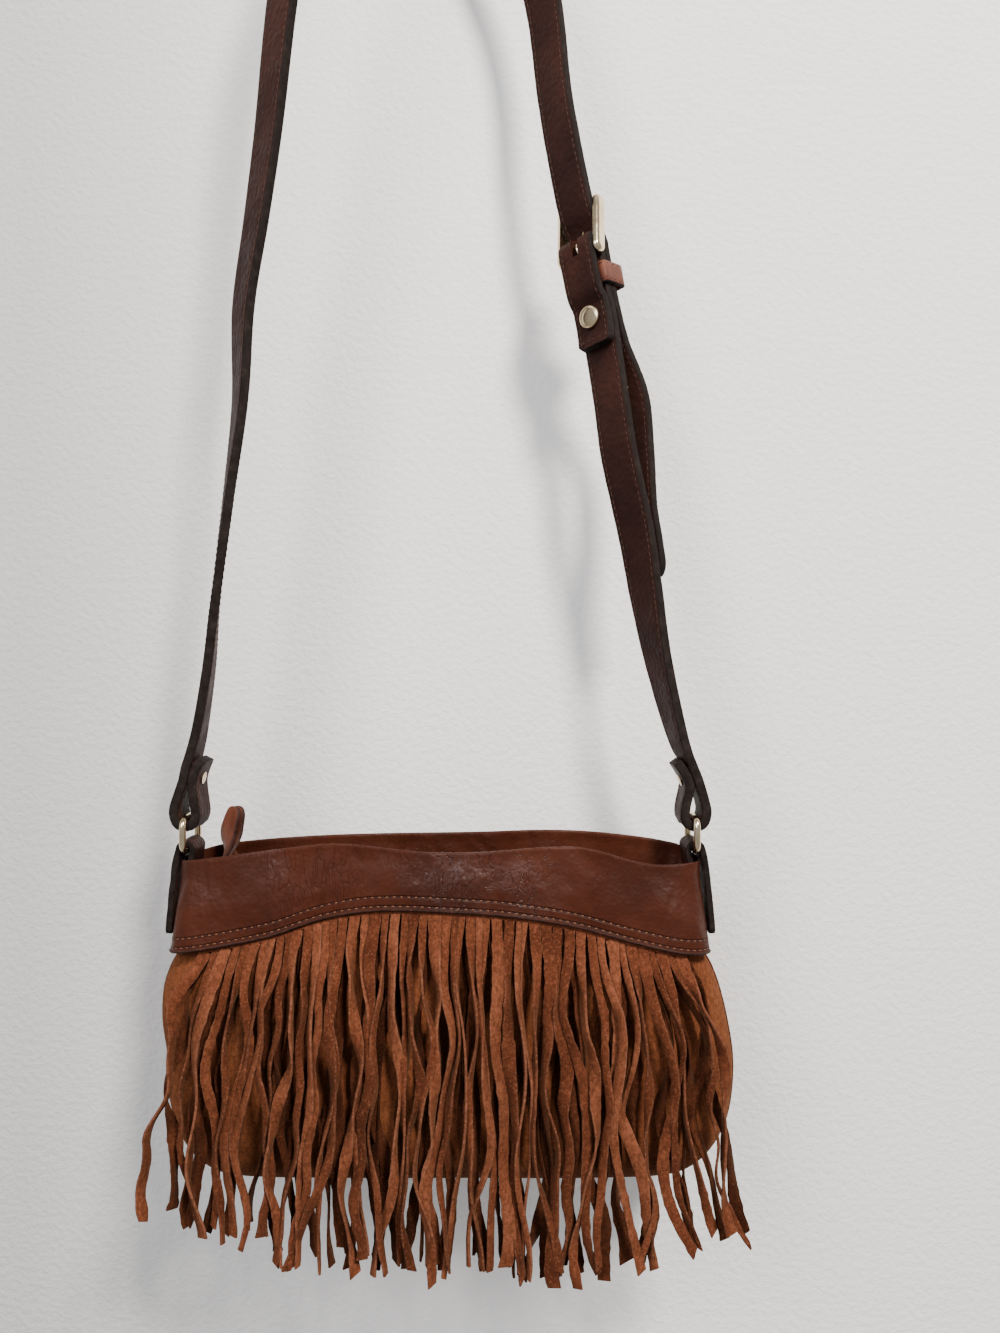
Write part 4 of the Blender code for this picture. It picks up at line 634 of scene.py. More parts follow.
def smooth_value(table, x):
    last = len(table) - 1
    i = 0
    while i < last - 1 and x > table[i + 1][0]:
        i += 1
    span = table[i + 1][0] - table[i][0]
    t = min(1.0, max(0.0, (x - table[i][0]) / span))
    values = []
    for k in (i, i + 1):
        low, high = table[max(0, k - 1)], table[min(last, k + 1)]
        values.append((high[1] - low[1]) / (high[0] - low[0]) * span)
    start, end = table[i][1], table[i + 1][1]
    return (start * (2 * t**3 - 3 * t**2 + 1) + end * (3 * t**2 - 2 * t**3)
            + values[0] * (t**3 - 2 * t**2 + t) + values[1] * (t**3 - t**2))


BODY_COLUMNS = [[(row[0], row[k]) for row in BODY_FORM] for k in (1, 2, 3, 4)]


def lengths(path):
    total = [0.0]
    for (a, _), (b, _) in zip(path, path[1:]):
        total.append(total[-1] + (b - a).length)
    return total


def frame_at(path, i):
    before, after = path[max(0, i - 1)][0], path[min(len(path) - 1, i + 1)][0]
    tangent = (after - before).normalized()
    normal = path[i][1] - tangent * path[i][1].dot(tangent)
    normal.normalize()
    return path[i][0], tangent, normal, tangent.cross(normal)


def even_path(path, spacing):
    """The same path with stations this far apart."""
    total = lengths(path)
    count = max(2, round(total[-1] / spacing))
    made = []
    i = 0
    for k in range(count + 1):
        target = total[-1] * k / count
        while i < len(path) - 2 and total[i + 1] < target:
            i += 1
        t = (target - total[i]) / max(total[i + 1] - total[i], 1e-12)
        made.append((path[i][0].lerp(path[i + 1][0], t), path[i][1].lerp(path[i + 1][1], t).normalized()))
    return made


def turn_direction(turn, side):
    return Vector((side * math.cos(turn), side * math.sin(turn), 0))


def fold_axes(side, slant):
    return Vector((-side * slant, 0, 1)).normalized(), Vector((side, 0, slant)).normalized()


def ring_fold(top_bar, side, slant):
    """The strap's end from its tip, round the ring's bar and up past the rivet."""
    loop = LOOP_RADIUS + STRAP_THICK / 2
    out = Vector((side, 0, 0))
    up = Vector((0, 0, 1))
    along, across = fold_axes(side, slant)
    ply = across * (STRAP_THICK + PLY_GAP)
    rivet = top_bar + Vector((side * FOLD_OFFSET, 0, RIVET_RISE))
    centre = top_bar + up * (LOOP_RADIUS - RING_WIRE_RADIUS - 1.6 * GAP)
    stations = [
        (rivet + along * (FOLD_END_RISE - RIVET_RISE) - ply - across * FOLD_END_GAPE, -across),
        (rivet + along * FOLD_ENDS - ply, -across),
        (rivet - along * FOLD_STARTS - ply, -across),
        (centre - out * (loop * 0.92) + up * (loop * 0.9), -out),
    ]
    for degrees in (0, 45, 90, 135, 180):
        angle = math.radians(degrees)
        direction = -out * math.cos(angle) - up * math.sin(angle)
        stations.append((centre + direction * loop, direction))
    stations += [
        (centre + out * (loop * 0.98) + up * (loop * 0.9), out),
        (rivet - along * FOLD_STARTS, across),
        (rivet + along * FOLD_ENDS, across),
    ]
    return stations


def leg_stations(table, start, scale, side):
    return [
        (start + Vector((x, y, -drop)) * scale, turn_direction(math.radians(turn), side))
        for x, y, drop, turn in table
    ]


def left_leg():
    return leg_stations(LEFT_LEG, Vector((BAG_X - RING_X, 0, 0)), STRAP_DROP, -1)


def hang_arc():
    plane = Vector((math.cos(HANG_TURN), math.sin(HANG_TURN), 0))
    radius = HANG_RADIUS + STRAP_THICK / 2
    stations = []
    for i in range(-3, 4):
        angle = HANG_SPREAD * i / 3
        direction = plane * math.sin(angle) + Vector((0, 0, math.cos(angle)))
        stations.append((Vector((0, 0, -HANG_RADIUS)) + direction * radius, direction))
    return stations


def right_upper_leg():
    return leg_stations(RIGHT_UPPER_LEG, Vector(), STRAP_DROP, 1)


def plies_matrix():
    up = -STRAP_LEAN.normalized()
    out = turn_direction(BUCKLE_TURN, 1)
    out = (out - up * out.dot(up)).normalized()
    across = out.cross(up)
    matrix = Matrix((across, out, up)).transposed().to_4x4()
    matrix.translation = BUCKLE_AT
    return matrix


PLIES = plies_matrix()
PLIES_OUT = PLIES.to_3x3() @ Vector((0, 1, 0))
PLIES_UP = PLIES.to_3x3() @ Vector((0, 0, 1))
BUCKLE = PLIES @ Matrix.Rotation(-BUCKLE_TILT, 4, "X")
BUCKLE_OUT = BUCKLE.to_3x3() @ Vector((0, 1, 0))
SHORT_LAYER = BAR_RADIUS + GAP + STRAP_THICK / 2
OVER_LAYER = SHORT_LAYER + STRAP_THICK + GAP
UNDER_LAYER = -(END_BAR_RADIUS + GAP + STRAP_THICK / 2)
END_BAR_UP = BUCKLE_LENGTH - BUCKLE_FOOT - END_BAR_RADIUS


def on_buckle(across, out, up):
    return BUCKLE @ Vector((across, out, up))


def on_plies(across, out, up):
    return PLIES @ Vector((across, out, up))


def long_strap_path(steps):
    """From the left ring over the top, through the buckle and down to the tip of the tail."""
    clear, rise = UNDER_END_BAR
    threading = [(on_buckle(0, UNDER_LAYER + clear, END_BAR_UP + rise), BUCKLE_OUT)]
    threading += [(on_buckle(0, level, height), BUCKLE_OUT) for level, height in LONG_STRAP_THREAD]
    threading += [(on_plies(0, OVER_LAYER, height), PLIES_OUT) for height in OVER_BAR_HEIGHTS]
    tail = leg_stations(TAIL, BUCKLE_AT, TAIL_LENGTH, 1)
    left = ring_fold(LEFT_TOP_BAR, -1, LEFT_SLANT) + left_leg()
    return smooth_path(left + hang_arc() + right_upper_leg() + threading + tail, steps)


def short_strap_path(steps):
    """From the folded tab under the stud, round the hinge bar and down to the right ring's fold."""
    out, up = PLIES_OUT, PLIES_UP
    close = SHORT_LAYER - STRAP_THICK - GAP
    bend_in, bend_low, bend_high = FOLD_PLY_BEND
    stations = [(on_plies(0, close - FOLD_TIP_GAPE, -FOLD_TAB_LENGTH), -out)]
    stations += [(on_plies(0, close, -STUD_DROP + past), -out) for past in FOLD_STUD_ENDS]
    stations += [
        (on_plies(0, -SHORT_LAYER + bend_in, -bend_low), -out),
        (on_plies(0, -SHORT_LAYER, -bend_high), -out),
    ]
    for degrees in (0, 45, 90, 135, 180):
        angle = math.radians(degrees)
        direction = -out * math.cos(angle) + up * math.sin(angle)
        stations.append((BUCKLE_AT + direction * SHORT_LAYER, direction))
    stations += [(on_plies(0, SHORT_LAYER, height), out) for height in SHORT_STRAP_HEIGHTS]
    leg = leg_stations(RIGHT_LOWER_LEG, Vector((BAG_X + RING_X, 0, 0)), STRAP_DROP, 1)
    fold = list(reversed(ring_fold(RIGHT_TOP_BAR, 1, RIGHT_SLANT)))
    return smooth_path(stations + leg + fold, steps)


# Meshes

def build_mesh(name, verts, faces, materials, picks=None, uvs=None, tones=None, smooth=True):
    """picks: material of each face. uvs: one pair per vertex. tones: one number per vertex."""
    mesh = bpy.data.meshes.new(name)
    mesh.from_pydata([tuple(v) for v in verts], [], faces)
    for made in materials:
        mesh.materials.append(made)
    if picks:
        mesh.polygons.foreach_set("material_index", picks)
    if uvs:
        layer = mesh.uv_layers.new(name="UVMap")
        flat = []
        for loop in mesh.loops:
            flat += uvs[loop.vertex_index]
        layer.data.foreach_set("uv", flat)
    if tones:
        mesh.attributes.new("tone", "FLOAT", "POINT").data.foreach_set("value", tones)
    if smooth:
        mesh.shade_smooth()
    mesh.validate()
    obj = bpy.data.objects.new(name, mesh)
    COLLECTION.objects.link(obj)
    return obj


def wall_faces(base, rows, count, closed=True):
    """Four-sided faces between rows of corners; a closed row joins its last corner to its first."""
    faces = []
    for r in range(rows - 1):
        a = base + r * count
        for k in range(count if closed else count - 1):
            n = (k + 1) % count
            faces.append((a + k, a + n, a + count + n, a + count + k))
    return faces


def rounded_corners(half_a, half_b, corner, parts):
    """Points round a rectangle with round corners, each with its outward direction."""
    points = []
    for a_sign, b_sign, start in ((1, 1, 0), (-1, 1, 90), (-1, -1, 180), (1, -1, 270)):
        for i in range(parts + 1):
            angle = math.radians(start + 90 / parts * i)
            points.append((a_sign * (half_a - corner) + corner * math.cos(angle),
                           b_sign * (half_b - corner) + corner * math.sin(angle),
                           math.cos(angle), math.sin(angle)))
    return points


def ribbon_profile(half, thick, edge):
    """Corners round a strap's section as (side, out, is_edge of the face to the next corner)."""
    top = thick / 2
    inset = edge * 0.3
    points = []
    for sign in (1, -1):
        points += [
            (-sign * (half - edge), sign * top, 0), (-sign * half * 0.45, sign * top, 0),
            (sign * half * 0.45, sign * top, 0), (sign * (half - edge), sign * top, 1),
            (sign * (half - inset), sign * (top - inset), 1), (sign * half, sign * (top - edge), 1),
            (sign * half, -sign * (top - edge), 1), (sign * (half - inset), -sign * (top - inset), 1),
        ]
    return points


def ribbon(name, path, width, thick, face, edge, spacing=0.0016, edge_round=0.0007, shape=None, ripple=0.0):
    """A flat leather strip along a path. shape(distance, total) gives its width as a share."""
    path = even_path(path, spacing)
    total = lengths(path)
    verts, uvs = [], []
    for i in range(len(path)):
        point, _, normal, side = frame_at(path, i)
        share = shape(total[i], total[-1]) if shape else 1.0
        half = width / 2 * share
        for across, out, _ in ribbon_profile(half, thick, edge_round):
            wobble = ripple * noise.noise(Vector((total[i] * 220, across * 260, out * 300)))
            verts.append(point + side * (across + wobble * (1 if abs(across) > half * 0.8 else 0.2))
                         + normal * (out + wobble * 0.5))
            uvs.append((total[i], across if abs(out) > thick / 2 * 0.9 else math.copysign(width / 2, across)))
    marks = [mark for _, _, mark in ribbon_profile(1.0, 1.0, 0.1)]
    count = len(marks)
    faces = wall_faces(0, len(path), count)
    last = (len(path) - 1) * count
    faces.append(tuple(reversed(range(count))))
    faces.append(tuple(range(last, last + count)))
    picks = marks * (len(path) - 1) + [1, 1]
    obj = build_mesh(name, verts, faces, [face, edge], picks, uvs)
    fix_normals(obj)
    return obj


def fix_normals(obj, angle=50, join=False):
    """Turns faces outward and keeps edges sharper than the angle; join first merges corners that meet."""
    bm = bmesh.new()
    bm.from_mesh(obj.data)
    if join:
        bmesh.ops.remove_doubles(bm, verts=bm.verts[:], dist=1e-6)
    bmesh.ops.recalc_face_normals(bm, faces=bm.faces[:])
    bm.to_mesh(obj.data)
    bm.free()
    obj.data.set_sharp_from_angle(angle=math.radians(angle))


def stitches(name, places, colour, length=STITCH_LENGTH, radius=STITCH_RADIUS):
    """Short sunk capsules of thread. places: (point, direction, normal)."""
    verts, faces = [], []
    rings = ((-0.5, 0.0), (-0.44, 0.7), (-0.2, 1.0), (0.2, 1.0), (0.44, 0.7), (0.5, 0.0))
    sides = 6
    for point, along, normal in places:
        along = along.normalized()
        across = along.cross(normal).normalized()
        base = len(verts)
        for share, size in rings:
            sink = -radius * 1.1 * (2 * abs(share)) ** 3
            for k in range(sides):
                angle = 2 * math.pi * k / sides
                lift = sink + math.sin(angle) * radius * size * 0.8
                verts.append(point + along * (share * length) + normal * lift
                             + across * (math.cos(angle) * radius * size))
        for r in range(len(rings) - 1):
            for k in range(sides):
                n = (k + 1) % sides
                a = base + r * sides
                faces.append((a + k, a + sides + k, a + sides + n, a + n))
    return build_mesh(name, verts, faces, [colour])


def strap_stitch_places(path, inset, start, end):
    """Places of the rows of stitches near both edges of a strap, on both of its faces."""
    path = even_path(path, 0.0010)
    total = lengths(path)
    places = []
    half = STRAP_WIDTH / 2 - inset
    at = start + STITCH_PITCH / 2
    i = 0
    while at < total[-1] - end:
        while total[i + 1] < at:
            i += 1
        point, tangent, normal, side = frame_at(path, i)
        for sign in (-1, 1):
            for face in (-1, 1):
                lift = face * (STRAP_THICK / 2 + STITCH_RADIUS * 0.15)
                places.append((point + side * (sign * half) + normal * lift, tangent, normal * face))
        at += STITCH_PITCH
    return places


def cut(obj, cutters):
    """Cuts holes, then removes the cutters."""
    for cutter in cutters:
        made = obj.modifiers.new("hole", "BOOLEAN")
        made.operation = "DIFFERENCE"
        made.solver = "EXACT"
        made.object = cutter
    graph = bpy.context.evaluated_depsgraph_get()
    mesh = bpy.data.meshes.new_from_object(obj.evaluated_get(graph), depsgraph=graph)
    obj.modifiers.clear()
    obj.data = mesh
    mesh.set_sharp_from_angle(angle=math.radians(50))
    for cutter in cutters:
        bpy.data.objects.remove(cutter)


def axis_matrix(point, direction):
    matrix = direction.to_track_quat("Z", "Y").to_matrix().to_4x4()
    matrix.translation = point
    return matrix


def cutter_object(bm, smooth):
    mesh = bpy.data.meshes.new("cutter")
    bm.to_mesh(mesh)
    bm.free()
    if smooth:
        mesh.shade_smooth()
    obj = bpy.data.objects.new("cutter", mesh)
    COLLECTION.objects.link(obj)
    return obj


def round_cutter(matrix, radius, depth, sides=32):
    bm = bmesh.new()
    bmesh.ops.create_cone(bm, cap_ends=True, segments=sides, radius1=radius, radius2=radius, depth=depth)
    bm.transform(matrix)
    return cutter_object(bm, False)


def box_cutter(matrix, size):
    bm = bmesh.new()
    bmesh.ops.create_cube(bm, size=1)
    bm.transform(matrix @ Matrix.Diagonal((*size, 1)))
    return cutter_object(bm, True)


def lathe(name, matrix, profile, material, sides=56):
    """A turned piece: profile of (radius, height) from the top of its axis to the bottom."""
    verts, faces = [], []
    for k in range(sides):
        angle = 2 * math.pi * k / sides
        for radius, height in profile:
            verts.append(matrix @ Vector((radius * math.cos(angle), radius * math.sin(angle), height)))
    rows = len(profile)
    for k in range(sides):
        n = (k + 1) % sides
        for r in range(rows - 1):
            faces.append((k * rows + r, k * rows + r + 1, n * rows + r + 1, n * rows + r))
    obj = build_mesh(name, verts, faces, [material])
    fix_normals(obj, 35, join=True)
    return obj


def tube(name, points, radius, material, closed=False, resolution=6):
    curve = bpy.data.curves.new(name, "CURVE")
    curve.dimensions = "3D"
    curve.bevel_depth = radius
    curve.bevel_resolution = resolution
    curve.use_fill_caps = True
    line = curve.splines.new("POLY")
    line.points.add(len(points) - 1)
    line.use_cyclic_u = closed
    line.use_smooth = True
    for spot, point in zip(line.points, points):
        spot.co = (*point, 1)
    curve.materials.append(material)
    obj = bpy.data.objects.new(name, curve)
    COLLECTION.objects.link(obj)
    return obj


def place(obj, body, slot, *nodes):
    """Ties a piece to its body and hides the frame's nodes that it takes the place of; the material slot is
    not used.
    """
    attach(obj, body)
    if nodes:
        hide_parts(*nodes)
    return obj


# Straps, buckle and fittings

def tail_shape(distance, total):
    """The tail ends in a round tip."""
    left = total - distance
    radius = STRAP_WIDTH * 0.45
    if left >= radius:
        return 1.0
    return 0.30 + 0.70 * math.sqrt(max(0.0, 1 - (1 - left / radius) ** 2))


def both_tips(distance, total):
    """The stitched ends are cut square with rounded corners."""
    near = min(distance, total - distance)
    if near >= TIP_CORNER:
        return 1.0
    return 0.80 + 0.20 * math.sqrt(max(0.0, 1 - (1 - near / TIP_CORNER) ** 2))


def long_shape(distance, total):
    return min(tail_shape(distance, total), both_tips(distance, total + 1))


def build_straps(m):
    long_path = long_strap_path(8)
    short_path = short_strap_path(8)
    made = []
    for name, path, shape in (("long", long_path, long_shape), ("short", short_path, both_tips)):
        strap = ribbon(name + "_strap", path, STRAP_WIDTH, STRAP_THICK, m["strap"], m["edge"], shape=shape,
                       ripple=STRAP_RIPPLE)
        made.append(place(strap, "strap", "strap_leather", "strap_" + name))
    cut(made[0], strap_holes(long_path))
    through = 2 * SHORT_LAYER + 2 * STRAP_THICK
    slot_at = PLIES @ Matrix.Translation((0, 0, PRONG_SLOT_RISE))
    cut(made[1], [box_cutter(slot_at, (PRONG_SLOT, through, PRONG_SLOT_LENGTH))])
    under_keeper = on_plies(0, SHORT_LAYER, -KEEPER_DROP - KEEPER_SLIDE / 2)
    for name, path in (("long", long_path), ("short", short_path)):
        places = strap_stitch_places(path, STRAP_STITCH_INSET, 0.002, 0.006)
        places = [spot for spot in places if (spot[0] - under_keeper).length > KEEPER_COVERS]
        thread_rows = stitches(name + "_strap_stitches", places, m["strap_thread"])
        place(thread_rows, "strap", "strap_leather")
    end_rows(short_path, m)


def strap_holes(path):
    """Cutters of the four holes in the tail and of the hole that the prong stands in."""
    total = lengths(path)
    at_bar = min(range(len(path)), key=lambda i: (path[i][0] - on_plies(0, OVER_LAYER, 0)).length)
    cutters = []
    for k in range(HOLE_COUNT):
        target = total[at_bar] + FIRST_HOLE + HOLE_PITCH * k
        i = min(range(len(total)), key=lambda n: abs(total[n] - target))
        point, _, normal, _ = frame_at(path, i)
        cutters.append(round_cutter(axis_matrix(point, normal), HOLE_RADIUS, STRAP_THICK * 3))
    tip, start = prong_arm()
    arm = tip - start
    matrix = axis_matrix((tip + start) / 2, arm.normalized())
    cutters.append(round_cutter(matrix, PRONG_RADIUS + PRONG_PLAY, arm.length * PRONG_HOLE_SHARE, 20))
    return cutters


def end_rows(path, m):
    """The row of stitches across the folded tab under the stud."""
    path = even_path(path, 0.0010)
    point, _, normal, side = frame_at(path, 3)
    lift = normal * (STRAP_THICK / 2 + STITCH_RADIUS * 0.2)
    places = [(point + side * (k * STITCH_PITCH) + lift, side, normal) for k in range(-2, 3)]
    place(stitches("fold_tab_stitches", places, m["strap_thread"]), "strap", "strap_leather")


def prong_eye(degrees):
    """A point of the prong's bent eye round the hinge bar."""
    eye = BAR_RADIUS + GAP + PRONG_RADIUS
    angle = math.radians(degrees)
    return on_buckle(0, eye * math.cos(angle), eye * math.sin(angle))


def prong_arm():
    """Tip and root of the prong's straight arm."""
    rest_out = END_BAR_RADIUS + GAP + PRONG_RADIUS
    tip = on_buckle(0, rest_out, END_BAR_UP + END_BAR_RADIUS * PRONG_REST_SHARE)
    return tip, prong_eye(PRONG_EYE_START - PRONG_EYE_STEPS * PRONG_EYE_STEP)


def turned_profile(head, foot, stack):
    return list(head) + [(radius, height - stack) for radius, height in foot]


def build_plates(half, m):
    """The buckle's two side plates, rounded toward the outside."""
    middle_up = BUCKLE_LENGTH / 2 - BUCKLE_FOOT
    verts, faces = [], []
    rings = len(PLATE_SECTION)
    for sign in (-1, 1):
        base = len(verts)
        for share, lift in PLATE_SECTION:
            shape = stadium_outline(BUCKLE_LENGTH, BUCKLE_SIDE_WIDTH, share)
            x = sign * (half + lift * BUCKLE_SIDE_THICK / 2)
            verts += [BUCKLE @ Vector((x, a, middle_up + b)) for a, b in shape]
        count = len(shape)
        faces += wall_faces(base, rings, count)
        faces.append(tuple(range(base, base + count)))
        faces.append(tuple(range(base + (rings - 1) * count, base + rings * count)))
    plates = build_mesh("buckle_plates", verts, faces, [m["gold"]])
    fix_normals(plates)
    place(plates, "strap", "gold_metal", "buckle_frame")


def build_buckle(m):
    half = STRAP_WIDTH / 2 + BUCKLE_SIDE_PLAY + BUCKLE_SIDE_THICK / 2
    build_plates(half, m)
    for name, up, radius in (("hinge", 0.0, BAR_RADIUS), ("end", END_BAR_UP, END_BAR_RADIUS)):
        ends = [on_buckle(sign * half, 0, up) for sign in (-1, 1)]
        bar = tube(f"buckle_{name}_bar", ends, radius, m["gold"])
        place(bar, "strap", "gold_metal", "buckle_frame")
    points = [prong_eye(PRONG_EYE_START - PRONG_EYE_STEP * i) for i in range(PRONG_EYE_STEPS + 1)]
    prong = tube("buckle_prong_rod", points + [prong_arm()[0]], PRONG_RADIUS, m["gold"])
    place(prong, "strap", "gold_metal", "buckle_prong")
    stack = 2 * STRAP_THICK + 3.4 * GAP
    middle = on_plies(0, SHORT_LAYER - (STRAP_THICK + GAP) / 2, -STUD_DROP)
    head = middle - PLIES_OUT * (stack / 2)
    profile = turned_profile(STUD_HEAD, STUD_FOOT, stack)
    stud = lathe("stud", axis_matrix(head, -PLIES_OUT), profile, m["gold"])
    place(stud, "strap", "gold_metal", "buckle_stud")


def stadium_outline(length, width, share):
    """Corners of a plate with round ends, shrunk evenly to a share of its half width."""
    radius = width / 2
    inset = radius * (1 - share)
    points = []
    for end in (1, -1):
        for i in range(17):
            angle = math.pi * i / 16
            points.append((end * (radius - inset) * math.cos(angle),
                           end * (length / 2 - radius + (radius - inset) * math.sin(angle))))
    return points


def keeper_outline():
    """The keeper's middle line, with its outward direction, in short even parts."""
    inside_deep = OVER_LAYER - SHORT_LAYER + STRAP_THICK + 2 * KEEPER_PLAY + KEEPER_LOOSE
    half_x = (STRAP_WIDTH + 2 * KEEPER_PLAY) / 2 + KEEPER_WALL / 2
    half_y = inside_deep / 2 + KEEPER_WALL / 2
    outline = rounded_corners(half_x, half_y, KEEPER_CORNER, 4)
    dense = []
    for a, b in zip(outline, outline[1:] + outline[:1]):
        parts = max(1, round(math.hypot(b[0] - a[0], b[1] - a[1]) / 0.0015))
        for k in range(parts):
            t = k / parts
            dense.append([a[n] + (b[n] - a[n]) * t for n in range(4)])
    return dense


def build_keeper(m):
    at = PLIES @ Matrix.Translation((0, (SHORT_LAYER + OVER_LAYER + KEEPER_LOOSE) / 2, -KEEPER_DROP))
    dense = keeper_outline()
    verts, faces, picks = [], [], []
    for x, y, nx, ny in dense:
        for z, out, _ in KEEPER_SECTION:
            reach = out * KEEPER_WALL
            verts.append(at @ Vector((x + nx * reach, y + ny * reach, z * KEEPER_HEIGHT)))
    count = len(KEEPER_SECTION)
    for i in range(len(dense)):
        n = (i + 1) % len(dense)
        for k in range(count):
            j = (k + 1) % count
            faces.append((i * count + k, n * count + k, n * count + j, i * count + j))
            picks.append(KEEPER_SECTION[k][2])
    loop = build_mesh("keeper_loop", verts, faces, [m["keeper"], m["edge"]], picks)
    fix_normals(loop)
    place(loop, "keeper", "tan_leather", "strap_keeper")
    places = keeper_stitch_places(at, dense)
    thread_rows = stitches("keeper_stitches", places, m["dark_thread"], *KEEPER_STITCH)
    place(thread_rows, "keeper", "tan_leather")


def keeper_stitch_places(at, dense):
    turn = at.to_3x3()
    lift = KEEPER_WALL * 0.52
    places = []
    travelled = 0.0
    for a, b in zip(dense, dense[1:] + dense[:1]):
        travelled += math.hypot(b[0] - a[0], b[1] - a[1])
        if travelled < KEEPER_STITCH_PITCH:
            continue
        travelled = 0.0
        for z in KEEPER_ROWS:
            point = at @ Vector((a[0] + a[2] * lift, a[1] + a[3] * lift, z * KEEPER_HEIGHT))
            along = turn @ Vector((b[0] - a[0], b[1] - a[1], 0))
            places.append((point, along, turn @ Vector((a[2], a[3], 0))))
    return places


def build_rivets(m):
    stack = 2 * STRAP_THICK + PLY_GAP + 2 * GAP
    for name, bar, side, slant in FITTINGS:
        _, across = fold_axes(side, slant)
        rivet = bar + Vector((side * FOLD_OFFSET, 0, RIVET_RISE))
        middle = rivet - across * ((STRAP_THICK + PLY_GAP) / 2)
        matrix = axis_matrix(middle + across * (stack / 2), across)
        made = lathe(f"rivet_{name}", matrix, turned_profile(RIVET_HEAD, RIVET_FOOT, stack), m["gold"], 40)
        place(made, "strap", "gold_metal", f"strap_rivet_{name}")


def build_rings(m):
    half_y = RING_INSIDE_WIDTH / 2 + RING_WIRE_RADIUS
    half_z = RING_BARS / 2
    for name, bar, _, _ in FITTINGS:
        around = rounded_corners(half_y, half_z, RING_CORNER, 12)
        points = [bar + Vector((0, y, z - half_z)) for y, z, _, _ in around]
        made = tube(f"ring_{name}_wire", points, RING_WIRE_RADIUS, m["gold"], closed=True, resolution=8)
        place(made, f"ring_{name}", "gold_metal", f"ring_{name}")


def tab_path(side):
    """A side tab from its outer end up, round the ring's lower bar and down inside the mouth."""
    bar = Vector((BAG_X + side * RING_X, 0, LOW_BAR_Z))
    fold = RING_WIRE_RADIUS + GAP + TAB_THICK / 2
    out = Vector((side, 0, 0))
    down = Vector((0, 0, -1))
    wall = RIM_HALF_WIDTH + TAB_THICK / 2 + 2 * GAP
    outer_top = BAG_X * Vector((1, 0, 0)) + out * wall
    share = (TAB_OUTER_LENGTH - fold) / (YOKE_EDGE_DROP - YOKE_SWEEP * YOKE_EDGE[0][1])
    outer_end = outer_top + out * ((YOKE_EDGE_HALF_WIDTH - RIM_HALF_WIDTH) * share)
    inner_x = RIM_HALF_WIDTH - YOKE_THICK - TAB_INNER_PLAY - TAB_THICK / 2
    inner = BAG_X * Vector((1, 0, 0)) + out * inner_x
    level = Vector((0, 0, LOW_BAR_Z))
    middle = outer_top.lerp(outer_end, 0.5) + level + down * (TAB_OUTER_LENGTH * TAB_MIDDLE_SHARE)
    stations = [
        (outer_end + level + down * TAB_OUTER_LENGTH, out),
        (middle + out * TAB_MIDDLE_BULGE, out),
        (outer_top + level + down * TAB_OUTER_BEND_DROP + out * TAB_OUTER_BULGE, out),
    ]
    for degrees in (0, 45, 90, 135, 180):
        angle = math.radians(degrees)
        direction = out * math.cos(angle) - down * math.sin(angle)
        stations.append((bar + direction * fold, direction))
    stations += [
        (inner + level + down * TAB_INNER_BEND_DROP, -out),
        (inner + level + down * (TAB_INNER_LENGTH * 0.65) + out * (TAB_INNER_BEND / 2), -out),
        (inner + level + down * TAB_INNER_LENGTH + out * TAB_INNER_BEND, -out),
    ]
    return smooth_path(stations, 8)


def build_tabs(m):
    for name, _, side, _ in FITTINGS:
        made = ribbon(f"tab_{name}", tab_path(side), TAB_WIDTH, TAB_THICK, m["strap"], m["edge"], 0.0012,
                      0.0006, shape=both_tips, ripple=TAB_RIPPLE)
        place(made, "bag", "strap_leather", f"side_tab_{name}")


# Body

def body_form(z):
    """Half width, half depth, bluntness and sag of the body at a height."""
    share = min(1.0, max(0.0, (BODY_TOP_Z - z) / (BODY_TOP_Z - BODY_BOTTOM_Z)))
    width, depth, blunt, sag = (smooth_value(column, share) for column in BODY_COLUMNS)
    return BODY_HALF_WIDTH * width, BODY_HALF_DEPTH * depth, blunt, BODY_SAG * sag


def outline_share(x_share, blunt):
    """Depth of the body's outline at a share of its half width, as a share of its half depth."""
    power = 1 / 3 if blunt > 7 else 1 / 3 + (7 - blunt) / 24
    return max(0.0, 1 - min(1.0, abs(x_share)) ** blunt) ** power


def spread_columns(depth_share, blunt, count):
    """Shares of the half width from the left seam to the right, evenly spaced along the outline."""
    dense = []
    for i in range(801):
        x_share = -math.cos(math.pi * i / 800)
        dense.append(Vector((x_share, depth_share * outline_share(x_share, blunt), 0)))
    total = [0.0]
    for a, b in zip(dense, dense[1:]):
        total.append(total[-1] + (b - a).length)
    made = []
    i = 0
    for k in range(count):
        target = total[-1] * k / (count - 1)
        while i < len(dense) - 2 and total[i + 1] < target:
            i += 1
        t = (target - total[i]) / max(total[i + 1] - total[i], 1e-12)
        made.append(dense[i].lerp(dense[i + 1], t).x)
    return made


def front_face(x, z):
    """Depth of the front panel's outer face."""
    half_width, depth, blunt, sag = body_form(z)
    return max(depth * outline_share((x - sag) / half_width, blunt), SEAM_GAP)


def yoke_edge(x_share):
    """Height of the yoke's stitched lower edge."""
    return YOKE_EDGE_Z + YOKE_SWEEP * smooth_value(YOKE_EDGE, x_share)


def yoke_depth(x_share, z, v, extra):
    """The yoke lies on the body below and runs into the mouth's even depth above."""
    seat = body_form(z)[1] + extra
    taper = max(0.0, (v - 0.35) / 0.65)
    depth = seat + (RIM_HALF_DEPTH - seat) * taper * taper * (3 - 2 * taper)
    return max(depth * outline_share(x_share, MOUTH_BLUNT), SEAM_GAP)


